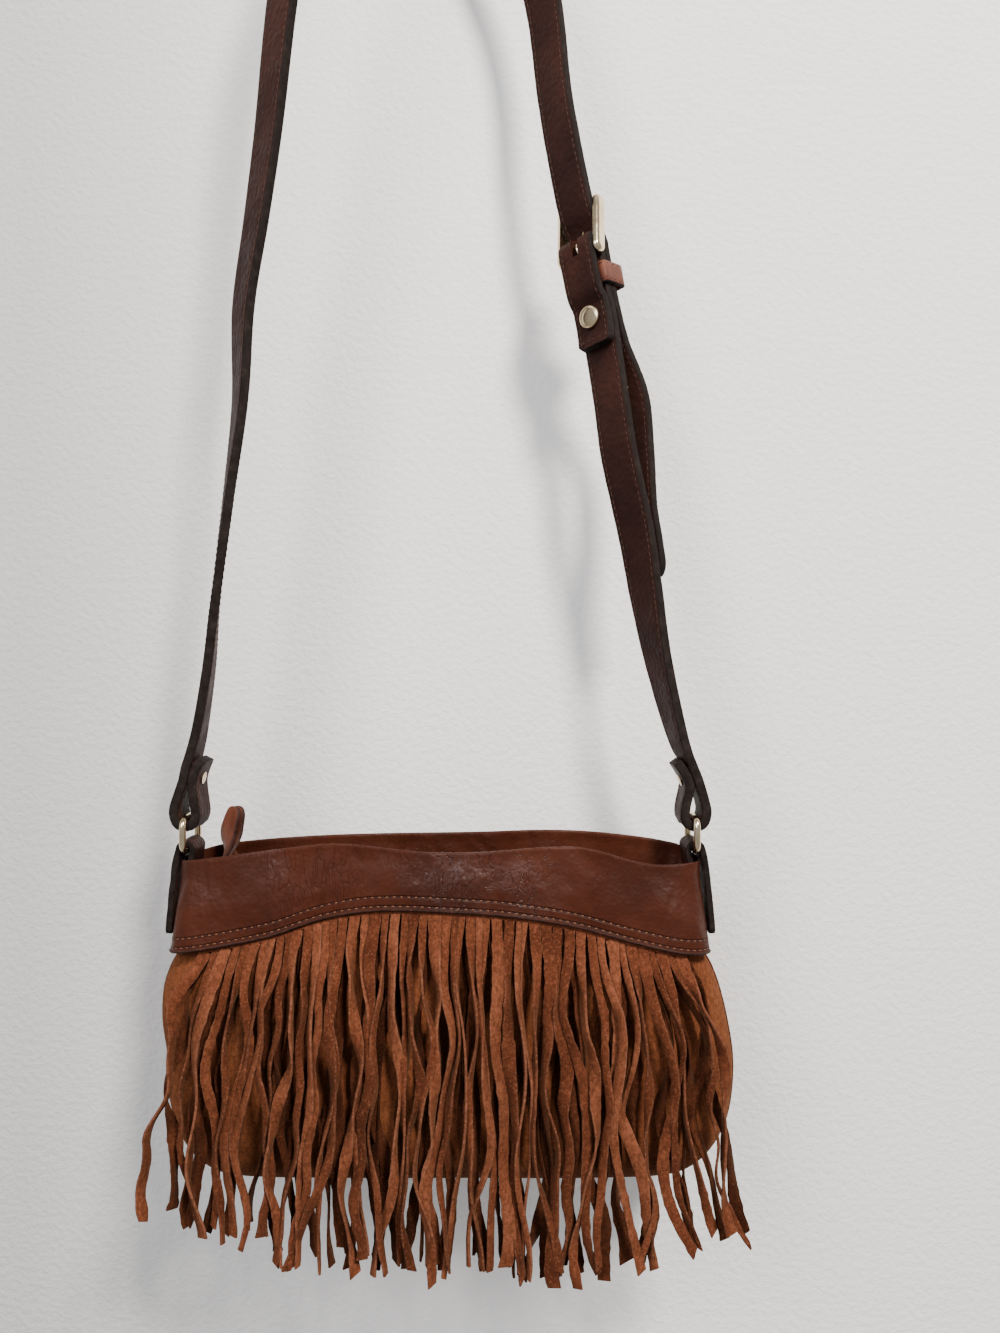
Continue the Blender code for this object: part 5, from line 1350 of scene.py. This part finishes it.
def yoke_wave(side, x_share, v):
    """Soft dents of the leather, out of its surface."""
    place_at = Vector((x_share * 5.2, v * 1.5 + side * 7, 3.1))
    amount = 0.0009 * noise.noise(place_at) + 0.00035 * noise.noise(place_at * 3.1)
    return amount * math.sin(math.pi * min(1.0, max(0.0, v))) ** 0.5


def rim_height(side, x_share):
    rim, rise = (FRONT_RIM, 0.0) if side < 0 else (BACK_RIM, BACK_RIM_RISE)
    return RIM_Z + rise + YOKE_SWEEP * smooth_value(rim, x_share)


def yoke_point(side, x_share, v, lift=0.0):
    """A point of a yoke's outer face: v is 0 at the stitched edge and 1 at the rim."""
    extra = FRINGE_STACK + GAP + YOKE_THICK if side < 0 else YOKE_THICK + GAP
    half_width = YOKE_EDGE_HALF_WIDTH + (RIM_HALF_WIDTH - YOKE_EDGE_HALF_WIDTH) * min(1.0, v * 1.25)
    low = yoke_edge(x_share)
    z = low + (rim_height(side, x_share) - low) * v
    y = yoke_depth(x_share, z, v, extra)
    fade = min(1.0, (1 - abs(x_share)) * YOKE_FADE)
    return Vector((BAG_X + half_width * x_share, side * (y + (yoke_wave(side, x_share, v) + lift) * fade), z))


def yoke_height(side, x_share):
    return rim_height(side, x_share) - yoke_edge(x_share)


def build_yoke(name, side, node, m):
    """Outer face, rolled rim and inner face as one leather shell."""
    columns = spread_columns(0.16, MOUTH_BLUNT, 150)
    rows = 30
    roll = 7
    grid = []
    for x_share in columns:
        line = [yoke_point(side, x_share, k / rows) for k in range(rows + 1)]
        fade = min(1.0, (1 - abs(x_share)) * YOKE_FADE)
        inward = Vector((0, -side, 0)) * fade
        top = line[-1]
        thick = YOKE_THICK + YOKE_RIM_EXTRA
        for k in range(1, roll + 1):
            angle = math.pi * k / roll
            over = Vector((0, 0, YOKE_RIM_ROLL * math.sin(angle)))
            line.append(top + inward * (thick / 2 * (1 - math.cos(angle))) + over)
        for k in range(rows - 1, -1, -1):
            v = k / rows
            near_rim = max(0.0, 1 - (1 - v) * yoke_height(side, x_share) / YOKE_RIM_REACH)
            wall = YOKE_THICK + YOKE_RIM_EXTRA * near_rim
            line.append(yoke_point(side, x_share, v) + inward * wall)
        grid.append(line)
    verts = [point for line in grid for point in line]
    count = len(grid[0])
    uvs = []
    for x_share, line in zip(columns, grid):
        for point in line:
            uvs.append((x_share, point.z - yoke_edge(x_share)))
    faces, picks = [], []
    for i in range(len(grid) - 1):
        for k in range(count - 1):
            faces.append((i * count + k, (i + 1) * count + k, (i + 1) * count + k + 1, i * count + k + 1))
            picks.append(0)
        faces.append((i * count + count - 1, (i + 1) * count + count - 1, (i + 1) * count, i * count))
        picks.append(1)
    obj = build_mesh(name, verts, faces, [m["yoke"], m["yoke_edge"]], picks, uvs)
    fix_normals(obj)
    return place(obj, "bag", "yoke_leather", node)


def yoke_stitch_row(side, above):
    """Stitch places along the yoke's lower edge, this far above it."""
    places = []
    count = 3000
    travelled = STITCH_PITCH
    before = None
    for i in range(count):
        x_share = -0.988 + 1.976 * i / (count - 1)
        v = above / yoke_height(side, x_share)
        point = yoke_point(side, x_share, v, YOKE_THREAD_LIFT)
        if before is not None:
            travelled += (point - before).length
        if travelled >= STITCH_PITCH:
            travelled = 0.0
            next_share = x_share + 0.004
            ahead = yoke_point(side, next_share, above / yoke_height(side, next_share), YOKE_THREAD_LIFT)
            upward = yoke_point(side, x_share, v + 0.05, YOKE_THREAD_LIFT) - point
            along = ahead - point
            normal = along.cross(upward).normalized()
            if normal.y * side < 0:
                normal = -normal
            places.append((point, along, normal))
        before = point
    return places


def build_yokes(m):
    for name, side, node in (("yoke_front", -1, "front_yoke"), ("yoke_back", 1, "back_yoke")):
        build_yoke(name, side, node, m)
        places = yoke_stitch_row(side, YOKE_LOW_ROW) + yoke_stitch_row(side, YOKE_HIGH_ROW)
        rows = stitches(name + "_stitches", places, m["yoke_thread"], YOKE_STITCH_LENGTH)
        place(rows, "bag", "yoke_leather")
        # Dark capsules sunk between the stitches: painted shade in the stitch holes.
        holes = []
        for point, along, normal in places:
            holes.append((point + along.normalized() * (STITCH_PITCH / 2) - normal * 0.00006, along, normal))
        rows = stitches(name + "_stitch_hole_shade", holes, m["dark_thread"], YOKE_HOLE_LENGTH, YOKE_HOLE_RADIUS)
        place(rows, "bag", "yoke_leather")
        build_edge_bead(name, side, m)


def build_edge_bead(name, side, m):
    """The painted lower edge, a thin dark line that stands a little proud."""
    points = []
    for i in range(241):
        x_share = -0.992 + 1.984 * i / 240
        points.append(yoke_point(side, x_share, 0.0, -0.0006) + Vector((0, 0, -0.0001)))
    bead = tube(name + "_painted_edge", points, EDGE_BEAD_RADIUS, m["yoke_edge"], resolution=2)
    place(bead, "bag", "yoke_leather")


def panel_sag(side, x_share, z):
    """Folds of the empty suede: broad hollows and a few upright waves."""
    spot = Vector((x_share * 3.4, z * 34, side * 5 + 1.7))
    return 0.0016 * noise.noise(spot) + 0.0006 * noise.noise(spot * 2.7)


def build_panel(name, side, node, m):
    """One suede panel with its outer and inner face; inner is 0 for the outer face and 1 for the inner."""
    columns = spread_columns(0.18, 4.0, 110)
    rows = 70
    verts, tones = [], []
    for inner in (0, 1):
        for step in range(rows + 1):
            v = 1 - (1 - step / rows) ** 1.45
            for x_share in columns:
                top = yoke_edge(x_share) + YOKE_LAP
                z = top + (BODY_BOTTOM_Z - top) * v
                half_width, depth, blunt, sag = body_form(z)
                share = outline_share(x_share, blunt)
                fade = min(1.0, v * 4) * min(1.0, (1 - v) * 8)
                y = depth * share + panel_sag(side, x_share, z) * fade * share
                y = max(y - inner * SUEDE_THICK * min(1.0, share * 4), SEAM_GAP * 0.3)
                x = sag + half_width * x_share * (1 - inner * SUEDE_THICK / half_width)
                verts.append(Vector((BAG_X + x, side * y, z + inner * SUEDE_THICK * max(0.0, v - 0.9) * 10)))
                tones.append(0.5 + 0.4 * noise.noise(Vector((x * 30, z * 30, side * 9))))
    count = len(columns)
    layer = count * (rows + 1)
    faces = wall_faces(0, rows + 1, count, closed=False) + wall_faces(layer, rows + 1, count, closed=False)
    edge = list(range(count)) + [r * count + count - 1 for r in range(1, rows + 1)]
    edge += [rows * count + k for k in range(count - 2, -1, -1)] + [r * count for r in range(rows - 1, 0, -1)]
    for a, b in zip(edge, edge[1:] + edge[:1]):
        faces.append((a, b, b + layer, a + layer))
    obj = build_mesh(name, verts, faces, [m["suede"]], tones=tones)
    fix_normals(obj)
    return place(obj, "bag", "suede", node)


def seam_places():
    """Points down the left seam, along the bottom and up the right seam."""
    points = []
    steps = 90
    low = YOKE_EDGE_Z - 0.0225
    for i in range(steps + 1):
        z = low + (BODY_BOTTOM_Z - low) * (1 - (1 - i / steps) ** 1.6)
        half, _, _, sag = body_form(z)
        points.append(Vector((BAG_X + sag - half, 0, z)))
    half, _, _, sag = body_form(BODY_BOTTOM_Z)
    for i in range(1, 120):
        points.append(Vector((BAG_X + sag - half + 2 * half * i / 120, 0, BODY_BOTTOM_Z)))
    for point in reversed(points[:steps + 1]):
        points.append(Vector((point.x + 2 * body_form(point.z)[0], 0, point.z)))
    return points


def build_seam(m):
    """The turned seam between the panels."""
    place(tube("body_seam", seam_places(), SEAM_RADIUS, m["suede_edge"], resolution=3), "bag", "suede")


def build_lining(m):
    """A crumpled cloth bag inside the panels, open at the zip."""
    inset = SUEDE_THICK + 0.0006
    top = ZIP_Z - 2 * GAP - ZIP_FACING_THICK
    bottom = BODY_BOTTOM_Z + 3 * inset
    columns = spread_columns(0.18, 5.0, 60)
    rows = 26
    verts = []
    for step in range(rows + 1):
        z = top + (bottom - top) * (1 - (1 - step / rows) ** 1.5)
        half_width, depth, blunt, sag = body_form(z)
        around = []
        for side, order in ((-1, columns), (1, list(reversed(columns)))):
            for x_share in order:
                y = max((depth - 1.3 * inset) * outline_share(x_share, blunt), SEAM_GAP)
                crumple = 0.0007 * noise.noise(Vector((x_share * 14, z * 120, side)))
                x = BAG_X + sag + (half_width - 2 * inset) * x_share
                around.append(Vector((x, side * (y + min(0.0, crumple)), z)))
        verts += around
    count = 2 * len(columns)
    faces = wall_faces(0, rows + 1, count)
    last = rows * count
    for k in range(len(columns) - 1):
        faces.append((last + k, last + k + 1, last + count - 2 - k, last + count - 1 - k))
    obj = build_mesh("lining_cloth", verts, faces, [m["lining"]])
    fix_normals(obj)
    return place(obj, "bag", "cloth", "lining")


# Fringe

def strand_section(width, thick):
    """Eight corners round a strand; the faces at the sides are the raw edges."""
    half, top = width / 2, thick / 2
    soft = thick * 0.25
    return ((-half + soft, -top, 0), (half - soft, -top, 1), (half, -top + soft, 1), (half, top - soft, 1),
            (half - soft, top, 0), (-half + soft, top, 1), (-half, top - soft, 1), (-half, -top + soft, 1))


def strand_centres(chance, extra, x_top, cut_z, tip_z, depth_in, level, rise, width, steps):
    """The frame's strand route, with more bends, a stronger turn and a curl of its own."""
    lean = FRINGE_SPREAD * (x_top - FRINGE_SHIFT) / FRINGE_HALF_SPAN + chance.uniform(-0.0014, 0.0014)
    wave = chance.uniform(0.0004, 0.0016)
    phase = chance.uniform(0, 2 * math.pi)
    turns = chance.uniform(1.1, 2.3)
    twist = math.radians(chance.uniform(-26, 26))
    group = noise.noise(Vector((x_top * 78, level * 300, depth_in * 700))) * 0.0062
    cross = extra.gauss(0, 0.0040)
    bow = extra.choice((-1, 1)) * extra.uniform(0.0010, 0.0044)
    bow_phase = extra.uniform(0, 2 * math.pi)
    bow_turns = extra.uniform(0.6, 1.7)
    kink = extra.uniform(0.0004, 0.0013)
    kink_phase = extra.uniform(0, 2 * math.pi)
    kink_turns = extra.uniform(2.0, 4.6)
    big_twist = math.radians(extra.choice((-1, 1)) * extra.uniform(20, 115))
    twist_phase = extra.uniform(-0.8, 0.8)
    twist_turns = extra.uniform(0.8, 3.0)
    curl = extra.gauss(0, 0.0028)
    edge = (x_top - FRINGE_SHIFT) / FRINGE_HALF_SPAN
    fan = math.copysign(FRINGE_FAN * max(0.0, abs(edge) - FRINGE_FAN_FROM) / (1 - FRINGE_FAN_FROM), edge)
    if edge > 0.80:
        curl += extra.uniform(0.001, 0.011)
    fray = extra.uniform(0, 60)
    stations = []
    reach = 0.0
    for step in range(steps + 1):
        t = step / steps
        z = cut_z + (tip_z - cut_z) * t
        ease = min(1.0, 4.5 * t)
        x = x_top + lean * t**FRINGE_LEAN_CURVE
        x += wave * math.sin(phase + turns * 2 * math.pi * t) * min(1.0, 2 * t)
        fanned = fan * math.sin(math.pi / 2 * min(1.0, FRINGE_FAN_RISE * t)) * (1 - FRINGE_FAN_FALL * t)
        x += fanned + cross * t * t
        x += bow * math.sin(bow_phase + bow_turns * 2 * math.pi * t) * ease
        x += kink * math.sin(kink_phase + kink_turns * 2 * math.pi * t) * ease
        x += group * math.sin(math.pi * min(1.0, 0.10 + 1.05 * t)) * ease
        x += curl * max(0.0, t - 0.68) ** 2 / 0.1024
        over_body = max(-FRINGE_HALF_SPAN - 0.004, min(FRINGE_HALF_SPAN + FRINGE_SHIFT, x))
        reach = max(reach, front_face(over_body, z))
        settle = min(1.0, rise * t)
        y = -(reach + level * settle + (depth_in + STRAND_THICK / 2) * (1 - settle))
        y += 0.0014 * math.sin(kink_phase * 1.7 + 2 * math.pi * kink_turns * 0.6 * t) * ease
        turn = (twist * math.sin(math.pi * min(1.0, 1.3 * t))
                + big_twist * math.sin(math.pi * twist_turns * t + twist_phase * ease) * min(1.0, 6 * t))
        ragged = noise.noise(Vector((fray, t * 34, 0))) * 0.24
        local = width * (1 + 0.12 * math.sin(kink_phase + 9 * t) + ragged)
        stations.append((Vector((BAG_X + x, y, z)), turn, local))
    return stations


def add_strand(verts, tones, faces, picks, stations, tone, slant):
    """Adds one strand along its stations, with a slanted cut at its tip."""
    base = len(verts)
    last = len(stations) - 1
    for i, (centre, turn, width) in enumerate(stations):
        before, after = stations[max(0, i - 1)][0], stations[min(last, i + 1)][0]
        tangent = (after - before).normalized()
        across = Vector((math.cos(turn), math.sin(turn), 0))
        across = (across - tangent * across.dot(tangent)).normalized()
        thick = across.cross(tangent).normalized()
        for side, out, _ in strand_section(width, STRAND_THICK):
            cut_shift = tangent * (slant * side / width * 2 * 0.0016) if i == last else Vector()
            verts.append(centre + across * side + thick * out + cut_shift)
            tones.append(tone + 0.30 * noise.noise(centre * 90 + Vector((tone * 9, 0, 0))))
    marks = [mark for _, _, mark in strand_section(1.0, 0.1)]
    count = len(marks)
    faces += wall_faces(base, last + 1, count)
    faces.append(tuple(range(base, base + count)))
    end = base + last * count
    faces.append(tuple(reversed(range(end, end + count))))
    picks += marks * last + [1, 1]


def fringe_header(name, depth_in, m):
    """The uncut head of the sheet under the yoke, down to where the slits start."""
    verts, tones, faces = [], [], []
    steps = 240
    for back in (0, 1):
        for i in range(steps + 1):
            x = FRINGE_SHIFT - FRINGE_HALF_SPAN + 2 * FRINGE_HALF_SPAN * i / steps
            edge = yoke_edge(x / YOKE_EDGE_HALF_WIDTH)
            for z in (edge + FRINGE_HEAD, edge - FRINGE_CUT_DROP * 0.9):
                near = front_face(x, z) + depth_in
                verts.append(Vector((BAG_X + x, -near - (0 if back else STRAND_THICK), z)))
                tones.append(0.42)
    layer = 2 * (steps + 1)
    for i in range(steps):
        a = 2 * i
        faces.append((a, a + 2, a + 3, a + 1))
        faces.append((layer + a + 1, layer + a + 3, layer + a + 2, layer + a))
        faces.append((a + 1, a + 3, layer + a + 3, layer + a + 1))
        faces.append((a, layer + a, layer + a + 2, a + 2))
    for a in (0, 2 * steps):
        faces.append((a, a + 1, layer + a + 1, layer + a))
    obj = build_mesh(name, verts, faces, [m["suede_strand"]], tones=tones)
    fix_normals(obj)
    return obj


def slit_widths(extra, count):
    """Places and widths of strands cut by hand: some slits lie close together and others far apart."""
    shares = [extra.uniform(0.62, 1.38) for _ in range(count)]
    scale = 2 * FRINGE_HALF_SPAN / sum(shares)
    left = FRINGE_SHIFT - FRINGE_HALF_SPAN
    places = []
    for share in shares:
        places.append((left + share * scale / 2, share * scale))
        left += share * scale
    return places


def build_fringe(name, node, seed, count, overlap, depth_in, level, rise, face, m):
    """One sheet of the fringe; the order in which the two chances are drawn fixes every strand."""
    chance = random.Random(seed)
    extra = random.Random(seed + 100)
    verts, tones, faces, picks = [], [], [], []
    for x_top, room in slit_widths(extra, count):
        cut_z = yoke_edge(x_top / YOKE_EDGE_HALF_WIDTH) - FRINGE_CUT_DROP
        share = (x_top - FRINGE_SHIFT) / FRINGE_HALF_SPAN
        sweep = FRINGE_TIPS_SWEEP * smooth_value(FRINGE_TIPS, share)
        tip_z = RIM_Z - FRINGE_TIPS_DROP + sweep + chance.uniform(-0.004, 0.007)
        depth = level + extra.choice((0, 0.35, 0.7, 1.0)) * STRAND_LEVEL
        wide = min(room * overlap, STRAND_MAX_WIDTH)
        stations = strand_centres(
            chance, extra, x_top, cut_z + 0.0006, tip_z, depth_in, depth, rise, wide, STRAND_STEPS)
        add_strand(verts, tones, faces, picks, stations, extra.uniform(0.05, 0.95), extra.uniform(-1.0, 1.0))
    edge = "suede_edge" if face == "suede_strand" else face
    obj = build_mesh(name, verts, faces, [m[face], m[edge]], picks, tones=tones)
    fix_normals(obj)
    place(obj, "bag", "suede", node)
    head = fringe_header(name + "_head", depth_in, m)
    place(head, "bag", "suede", node)


# Zip

def zip_route(side):
    """Middle line of a tape: from the end tab down, closed, then opened and standing along the wall."""
    half = ZIP_TAPE_WIDTH / 2
    seat = ZIP_TEETH_HALF + ZIP_TAPE_WIDTH
    left = BAG_X - ZIP_HALF_LENGTH + ZIP_LEFT_INSET
    y = side * (ZIP_TEETH_HALF + half)
    stations = []
    for along, rise, x, z in ZIP_TAIL_ROUTE:
        stations.append((Vector((left + along, y, ZIP_Z + rise)), Vector((x, 0, z))))
    for along in (-0.0200, 0, SLIDER_LENGTH):
        stations.append((Vector((BAG_X + ZIP_OPEN_FROM + along, y, ZIP_Z)), Vector((0, 0, 1))))
    for share in (0.25, 0.5, 0.75, 1.0):
        angle = ZIP_LEAN * share
        x = BAG_X + ZIP_OPEN_FROM + SLIDER_LENGTH + ZIP_OPENED_LENGTH * share
        direction = Vector((0, -side * math.sin(angle), math.cos(angle)))
        across = Vector((0, -side * math.cos(angle), math.sin(angle)))
        stations.append((Vector((x, side * seat, ZIP_Z)) + across * half, direction))
    stations.append((Vector((BAG_X + ZIP_HALF_LENGTH, side * seat, ZIP_Z)) + across * half, stations[-1][1]))
    return smooth_path(stations, 8)


def build_zip(m):
    for name, side in (("front", -1), ("back", 1)):
        path = zip_route(side)
        tape = ribbon(f"tape_{name}", path, ZIP_TAPE_WIDTH, ZIP_TAPE_THICK, m["tape"], m["tape"], 0.0025,
                      0.00015)
        place(tape, "bag", "cloth", f"zip_tape_{name}")
        build_teeth(f"teeth_{name}", path, side, m)
        wall = body_form(ZIP_Z)[1] - SUEDE_THICK - GAP
        seat = ZIP_TEETH_HALF + ZIP_TAPE_WIDTH + GAP
        middle = side * (seat + wall) / 2
        reach = ZIP_HALF_LENGTH * 0.90
        route = [(Vector((BAG_X + x, middle, ZIP_Z)), Vector((0, 0, 1))) for x in (-reach, 0, reach)]
        facing = ribbon(f"facing_{name}", route, wall - seat, ZIP_FACING_THICK, m["keeper"], m["keeper"],
                        0.004, 0.0002)
        place(facing, "bag", "tan_leather", f"zip_facing_{name}")
    build_end_tab(m)


def build_teeth(name, path, side, m):
    """A block for every tooth on the tape's inner edge; the two rows stand in each other's gaps."""
    path = even_path(path, TOOTH_PITCH)
    long, wide, high = TOOTH_HALF
    verts, faces = [], []
    for i in range(12, len(path) - 4, 2):
        index = i + (1 if side > 0 else 0)
        point, tangent, normal, across = frame_at(path, index)
        inward = across if across.y * side < 0 else -across
        if path[index][0].x > BAG_X + ZIP_OPEN_FROM + 0.02:
            inward = across if across.z > 0 else -across
        centre = point + inward * (ZIP_TAPE_WIDTH / 2 + TOOTH_PAST_TAPE)
        base = len(verts)
        for c in (-1, 1):
            for a, b in ((-1, -1), (1, -1), (1, 1), (-1, 1)):
                verts.append(centre + tangent * (a * long) + inward * (b * wide) + normal * (c * high))
        for face in ((0, 3, 2, 1), (4, 5, 6, 7), (0, 1, 5, 4), (1, 2, 6, 5), (2, 3, 7, 6), (3, 0, 4, 7)):
            faces.append(tuple(base + k for k in face))
    obj = build_mesh(name, verts, faces, [m["bronze"]], smooth=False)
    fix_normals(obj)
    return place(obj, "bag", "gold_metal")


def end_tab_shape(distance, total):
    """Share of the end tab's width: narrower toward its round tip."""
    share = 1 + (END_TAB_TIP_WIDTH / END_TAB_WIDTH - 1) * distance / total
    left = total - distance
    radius = END_TAB_TIP_WIDTH * 0.5
    if left < radius:
        share *= 0.30 + 0.70 * math.sqrt(max(0.0, 1 - (1 - left / radius) ** 2))
    return share


def build_end_tab(m):
    """Two leather plies folded over the tape's end; the fold gapes a little at the front edge."""
    x = BAG_X - ZIP_HALF_LENGTH - END_TAB_BESIDE
    base = ZIP_Z + ZIP_TAIL_RISE - END_TAB_LAP
    ply = END_TAB_THICK / 2 - END_TAB_GAPE
    for k, sign in enumerate((-1, 1)):
        route = []
        for rise, shift, turn in END_TAB_ROUTE:
            facing_out = turn_direction(math.radians(turn), 1)
            gape = ply / 2 + END_TAB_GAPE + END_TAB_BULGE * math.sin(math.pi * rise)
            middle = Vector((x + shift * END_TAB_LENGTH, 0, base + rise * END_TAB_LENGTH))
            route.append((middle + facing_out * (sign * gape), facing_out))
        made = ribbon(f"end_tab_ply_{k + 1}", smooth_path(route, 8), END_TAB_WIDTH, ply, m["keeper"],
                      m["yoke_edge"], 0.0008, 0.0004, shape=end_tab_shape, ripple=0.0002)
        place(made, "bag", "tan_leather", "zip_end_tab")


def build_slider(m):
    """The slider and its puller keep the frame's own meshes, in gold."""
    for node in ("zip_slider", "zip_puller"):
        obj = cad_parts[node]
        obj.data.materials.clear()
        obj.data.materials.append(m["gold"])


# Set

def build_stage(m):
    bpy.ops.mesh.primitive_plane_add(size=1)
    wall = bpy.context.object
    wall.name = "backdrop"
    wall.scale = (WALL_SIZE, WALL_SIZE, 1)
    wall.rotation_euler = (math.radians(90), 0, 0)
    wall.location = WALL_AT
    wall.data.materials.append(m["wall"])


def area_light(name, location, target, size, power, colour):
    light = bpy.data.lights.new(name, "AREA")
    light.shape = "DISK"
    light.size = size
    light.energy = power
    light.color = colour
    obj = bpy.data.objects.new(name, light)
    obj.location = location
    obj.rotation_euler = (Vector(target) - Vector(location)).to_track_quat("-Z", "Y").to_euler()
    COLLECTION.objects.link(obj)


def build_lights():
    world = bpy.data.worlds.new("studio")
    bpy.context.scene.world = world
    world.use_nodes = True
    background = world.node_tree.nodes["Background"]
    background.inputs["Color"].default_value = SKY_COLOUR
    background.inputs["Strength"].default_value = SKY_STRENGTH
    for light in LIGHTS:
        area_light(*light)


def build_camera():
    camera = bpy.data.cameras.new("camera")
    camera.sensor_width = 36
    camera.lens = CAMERA_LENS
    camera.clip_start = 0.01
    obj = bpy.data.objects.new("camera", camera)
    obj.location = CAMERA_AT
    obj.rotation_euler = (math.radians(90), 0, 0)
    COLLECTION.objects.link(obj)
    bpy.context.scene.camera = obj


def materials():
    return {
        "yoke": yoke_leather(),
        "yoke_edge": edge_of_yoke(),
        "strap": strap_leather(),
        "edge": strap_edge(),
        "keeper": keeper_leather(),
        "suede": suede(
            "suede_body", (0.100, 0.0290, 0.0115), (0.172, 0.0530, 0.0215), (0.250, 0.0850, 0.0370), 0.5),
        "suede_strand": suede(
            "suede_strand", (0.052, 0.0140, 0.0066), (0.122, 0.0350, 0.0160), (0.225, 0.0730, 0.0350)),
        # Darker copy of the strands' suede: painted shade for the fringe layer behind the front strands.
        "suede_under": suede(
            "suede_under_layer", (0.022, 0.0062, 0.0030), (0.056, 0.0160, 0.0074), (0.115, 0.0350, 0.0160)),
        "suede_edge": suede(
            "suede_edge", (0.060, 0.0190, 0.0098), (0.135, 0.0455, 0.0235), (0.240, 0.0900, 0.0480), 1.3),
        "strap_thread": thread("strap_thread", (0.066, 0.0215, 0.0120), (0.036, 0.0130, 0.0080)),
        "yoke_thread": thread("yoke_thread", (0.210, 0.088, 0.046), (0.105, 0.042, 0.024)),
        # Dark thread of the keeper's stitches, also used as painted shade in the yoke's stitch holes.
        "dark_thread": thread("dark_thread", (0.045, 0.012, 0.009), (0.020, 0.007, 0.005)),
        "gold": gold(),
        "bronze": bronze(),
        "lining": cloth("lining_cloth", (0.035, 0.026, 0.022), (0.075, 0.056, 0.046)),
        "tape": cloth("zip_tape", (0.040, 0.020, 0.014), (0.085, 0.045, 0.030)),
        "wall": plaster(),
    }


def edge_of_yoke():
    """The yoke's painted edge, worn lighter in places."""
    s = Shader("yoke_edge_paint")
    worn = s.noise(s.coords(), 300, 4.0, 0.6)
    base = s.ramp(worn, [(0.3, (0.018, 0.008, 0.006)), (0.6, (0.040, 0.016, 0.011)),
                         (0.85, (0.095, 0.036, 0.022))])
    rough = s.remap(worn, 0.3, 0.7, 0.4, 0.65)
    return s.set(colour=base, rough=rough, normal=s.bump(worn, 0.0001), specular=0.10)


def main():
    m = materials()
    build_straps(m)
    build_buckle(m)
    build_keeper(m)
    build_rivets(m)
    build_rings(m)
    build_tabs(m)
    build_yokes(m)
    build_panel("panel_front", -1, "front_panel", m)
    build_panel("panel_back", 1, "back_panel", m)
    build_seam(m)
    build_lining(m)
    for layer in FRINGE_LAYERS:
        build_fringe(*layer, m)
    build_zip(m)
    build_slider(m)
    build_stage(m)
    build_lights()
    build_camera()


main()
